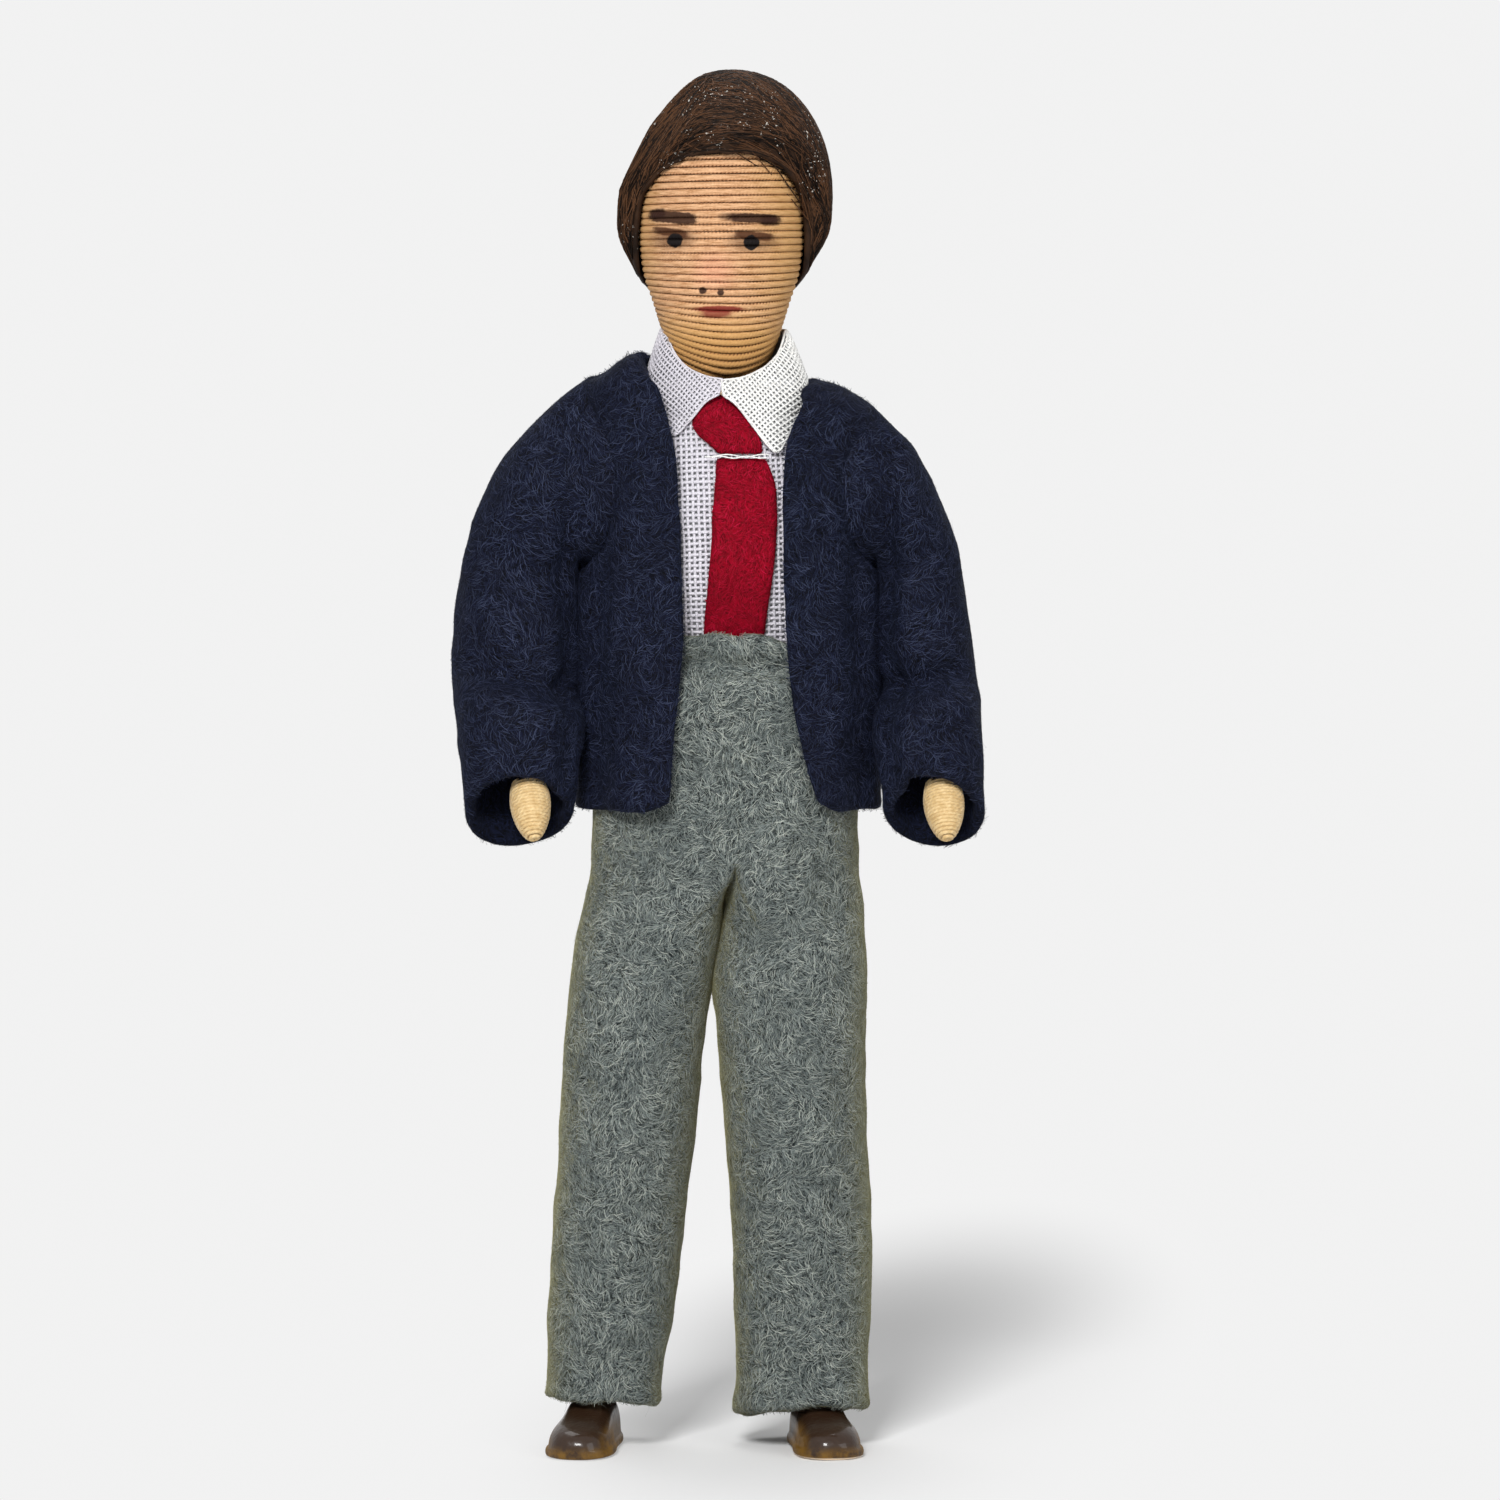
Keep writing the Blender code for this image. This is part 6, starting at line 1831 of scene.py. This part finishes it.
@dataclass
class Limbs:
    """Hands, shoes, and the bindings and padding that the clothes hide."""

    def build_hands(self) -> None:
        """Makes both thread-bound hands."""
        outline = ((0.0, 1.75), (0.15, 2.0), (0.35, 2.1), (0.55, 1.95), (0.72, 1.65), (0.86, 1.25),
                   (0.95, 0.85), (1.0, 0.45))
        for side in Side:
            way = (WRISTS[side] - ELBOWS[side]).normalized()
            start = WRISTS[side] + way * 0.4
            hand = "hand_" + side.label
            WoundRod("hand_thread_" + side.label, start, start + way * 6.2, outline, 0.34, 0.22, hand,
                     "hand_thread", hand, HAND_THREAD, True).build()

    def build_bindings(self) -> None:
        """Makes the hidden thread bindings of the neck, the arms and the legs."""
        for side in Side:
            word = side.label
            spans = (("upper_arm", SHOULDERS[side], ELBOWS[side], 2.5, 2.3, 2.2, 2.9),
                     ("forearm", ELBOWS[side], WRISTS[side], 2.3, 1.9, 2.9, 2.2),
                     ("thigh", HIPS[side], KNEES[side], 4.6, 3.6, 5.2, 3.4),
                     ("shin", KNEES[side], ANKLES[side], 3.6, 2.9, 3.4, 2.4))
            for bone, top, low, wide, narrow, leave, stop in spans:
                way = (low - top).normalized()
                outline = ((0.0, wide * 0.8), (0.08, wide), (0.92, narrow), (1.0, narrow * 0.8))
                WoundRod(f"{bone}_thread_{word}", top + way * leave, low - way * stop, outline, 0.8,
                         0.42, f"{bone}_{word}", "binding", f"{bone}_binding_{word}",
                         BINDING_THREAD).build()
        middle = Vector((SPINE_X, SPINE_Y, 0))
        outline = ((0.0, 3.3), (0.5, 3.3), (1.0, 2.5))
        WoundRod("neck_thread", middle + Vector((0, 0, 105.3)), middle + Vector((0, 0, 108.6)),
                 outline, 0.7, 0.38, "neck", "binding", "neck_binding", BINDING_THREAD).build()

    def build_padding(self) -> None:
        """Makes the wadding of the chest and the pelvis."""
        chest = ((80.9, 9.1, 4.4), (84.0, 9.3, 4.6), (89.0, 12.4, 6.2), (98.0, 12.4, 6.2),
                 (101.5, 6.0, 5.5), (104.2, 2.9, 2.9))
        pelvis = ((64.2, 11.5, 6.1), (70.0, 11.2, 6.1), (78.8, 10.2, 5.5))
        for part, table, body, x, finish in (("chest", chest, "torso", JACKET_X, WADDING),
                                             ("pelvis", pelvis, "pelvis", SPINE_X, SEAT_LINING)):
            rings = []
            for height in spread(table[-1][0], table[0][0], 12):
                wide, deep = read(table, height)
                rings.append([section((x, TORSO_Y), (wide, deep), angle, height)
                              for angle in round_angles(28)])
            wadding = solid_loft(part + "_wadding", rings, finish.look())
            roughen(wadding, 0.15, 1.6)
            place(wadding, Carry(body), "padding", [part + "_padding"])

    def build_shoes(self) -> None:
        """Makes both cast shoes: upper, welt and sole."""
        stations = ((0.0, 0.50, 0.66), (0.03, 0.64, 0.82), (0.09, 0.76, 0.94), (0.18, 0.83, 1.0),
                    (0.30, 0.84, 1.0), (0.40, 0.85, 0.95), (0.48, 0.88, 0.84), (0.56, 0.93, 0.75),
                    (0.66, 0.99, 0.69), (0.77, 1.0, 0.64), (0.86, 0.93, 0.58), (0.93, 0.79, 0.50),
                    (0.975, 0.58, 0.40), (1.0, 0.34, 0.28))
        for side in Side:
            turn = radians(9) * side.value
            low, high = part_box("shoe_" + side.label)
            middle = (Vector(low) + Vector(high)) / 2 / MM
            rings = []
            for along, wide, tall in stations:
                y, half, rise = 7.6 - 15.2 * along, 3.55 * wide, 5.5 * tall
                profile = [(half * 0.93, 0.02), (half, 0.22), (half, 0.75), (half * 0.955, 0.98),
                           (half * 0.90, 1.1), (half * 0.90, rise * 0.45), (half * 0.80, rise * 0.75),
                           (half * 0.52, rise * 0.96), (0.0, rise)]
                ring = [Vector((x, y, z)) for x, z in profile]
                ring += [Vector((-x, y, z)) for x, z in reversed(profile[:-1])]
                turned = []
                for point in ring:
                    x = point.x * cos(turn) - point.y * sin(turn)
                    deep = point.x * sin(turn) + point.y * cos(turn)
                    turned.append(Vector((middle.x + x, middle.y + deep, point.z)))
                rings.append(turned)
            shoe = solid_loft("shoe_cast_" + side.label, rings, ShoeFinish().look(), 2)
            thin = shoe.data.attributes.new("side", "FLOAT", "POINT")
            for vertex in shoe.data.vertices:
                at = vertex.co / MM - middle
                across = abs(at.x * cos(turn) + at.y * sin(turn))
                thin.data[vertex.index].value = smooth(across, 2.1, 3.3) * smooth(at.z + middle.z, 3.9, 2.4)
            place(shoe, Carry("foot_" + side.label), "shoe_paint", ["shoe_" + side.label])

    def build(self) -> None:
        """Makes every piece of the limbs."""
        self.build_hands()
        self.build_bindings()
        self.build_padding()
        self.build_shoes()
        for name in ("spine_wire", "lower_spine_wire", "neck_wire", "hip_wire", "shoulder_wire",
                     *(f"{bone}_{side.label}" for side in Side
                       for bone in ("shoulder_bend", "hip_bend", "upper_arm_wire", "forearm_wire",
                                    "thigh_wire", "shin_wire"))):
            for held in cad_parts[name].material_slots:
                held.material = IRON.look()


# The stage

@dataclass
class Studio:
    """Camera, floor and soft lamps."""

    distance: float = 760.0
    lift: float = radians(3.2)
    frame_width: float = 152.5
    sensor: float = 36.0
    aim: Triple = (3.25, 0.0, 71.12)
    lamp_aim: Triple = (0.0, 0.0, 75.0)
    backdrop: Colour = (0.885, 0.885, 0.885)
    floor_colour: Colour = (0.87, 0.87, 0.87)
    floor_half: float = 3000.0

    def camera(self) -> None:
        """Puts the camera in front, a little above the doll's middle."""
        data = bpy.data.cameras.new("Camera")
        data.sensor_width = self.sensor
        data.lens = self.sensor * self.distance / self.frame_width
        data.clip_start, data.clip_end = 0.01, 20
        camera = add_object("Camera", data)
        way = Vector((0, -cos(self.lift), sin(self.lift)))
        camera.location = (Vector(self.aim) + way * self.distance) * MM
        camera.rotation_euler = (pi / 2 - self.lift, 0, 0)
        bpy.context.scene.camera = camera

    def floor(self) -> None:
        """A pale floor that melts into the backdrop."""
        shader = Shader("Pale floor")
        x, y, _ = shader.axes()
        away = ((x - y * 0.14 - 6.0) ** 2 + ((y - 50.0) * 0.22) ** 2) ** 0.5
        seen = shader.node("ShaderNodeLightPath", output="Is Camera Ray")
        glow = shader.node("ShaderNodeEmission", None, {"Color": self.backdrop, "Strength": 1.0})
        shader.finish(self.floor_colour, 0.9, Specular_IOR_Level=0.1)
        lit = Signal(shader, shader.surface.outputs[0])
        blended = shader.node("ShaderNodeMixShader", None, {0: away.step(8.0, 38.0) * seen, 1: lit,
                                                            2: glow})
        shader.feed(shader.ending("OUTPUT_MATERIAL"), blended)
        corners = [Vector((x, y, 0)) * self.floor_half for x, y in ((-1, -1), (1, -1), (1, 1), (-1, 1))]
        floor = new_piece("floor", corners, [(0, 1, 2, 3)], shader.material)

    def world(self) -> None:
        """An even surround, pale to the camera and in reflections."""
        world = bpy.data.worlds.new("Studio")
        world.use_nodes = True
        bpy.context.scene.world = world
        graph = Graph(world.node_tree)
        ambient = graph.node("ShaderNodeBackground", None, {"Color": (1.0, 1.0, 1.0), "Strength": 0.25})
        backdrop = graph.node("ShaderNodeBackground", None, {"Color": self.backdrop})
        camera_ray = graph.node("ShaderNodeLightPath", output="Is Camera Ray")
        seen = camera_ray.larger(camera_ray.beside("Is Glossy Ray"))
        seen = seen.larger(camera_ray.beside("Is Transmission Ray"))
        graph.feed(graph.ending("OUTPUT_WORLD"),
                   graph.node("ShaderNodeMixShader", None, {0: seen, 1: ambient, 2: backdrop}))

    def lamps(self) -> None:
        """A broad key from the viewer's upper left, and weaker fills."""
        for name, at, size, watts in (("Key", (-130, -620, 470), 200, 5.1),
                                      ("Fill", (420, -430, 260), 320, 0.8),
                                      ("Top", (-60, 220, 620), 300, 0.9)):
            data = bpy.data.lights.new(name, "AREA")
            data.size = size * MM
            data.energy = watts
            lamp = add_object(name, data)
            lamp.location = Vector(at) * MM
            way = Vector(self.lamp_aim) * MM - lamp.location
            lamp.rotation_euler = way.to_track_quat("-Z", "Y").to_euler()

    def build(self) -> None:
        """Sets the stage."""
        bpy.context.scene.view_settings.view_transform = "Standard"
        self.camera()
        self.floor()
        self.world()
        self.lamps()


def main() -> None:
    """Builds the stage and the doll."""
    logging.basicConfig(level=logging.INFO, format="%(name)s %(message)s")
    Studio().build()
    Head().build()
    Shirt().build()
    Jacket().build()
    Trousers().build()
    Limbs().build()


if __name__ == "__main__":
    main()
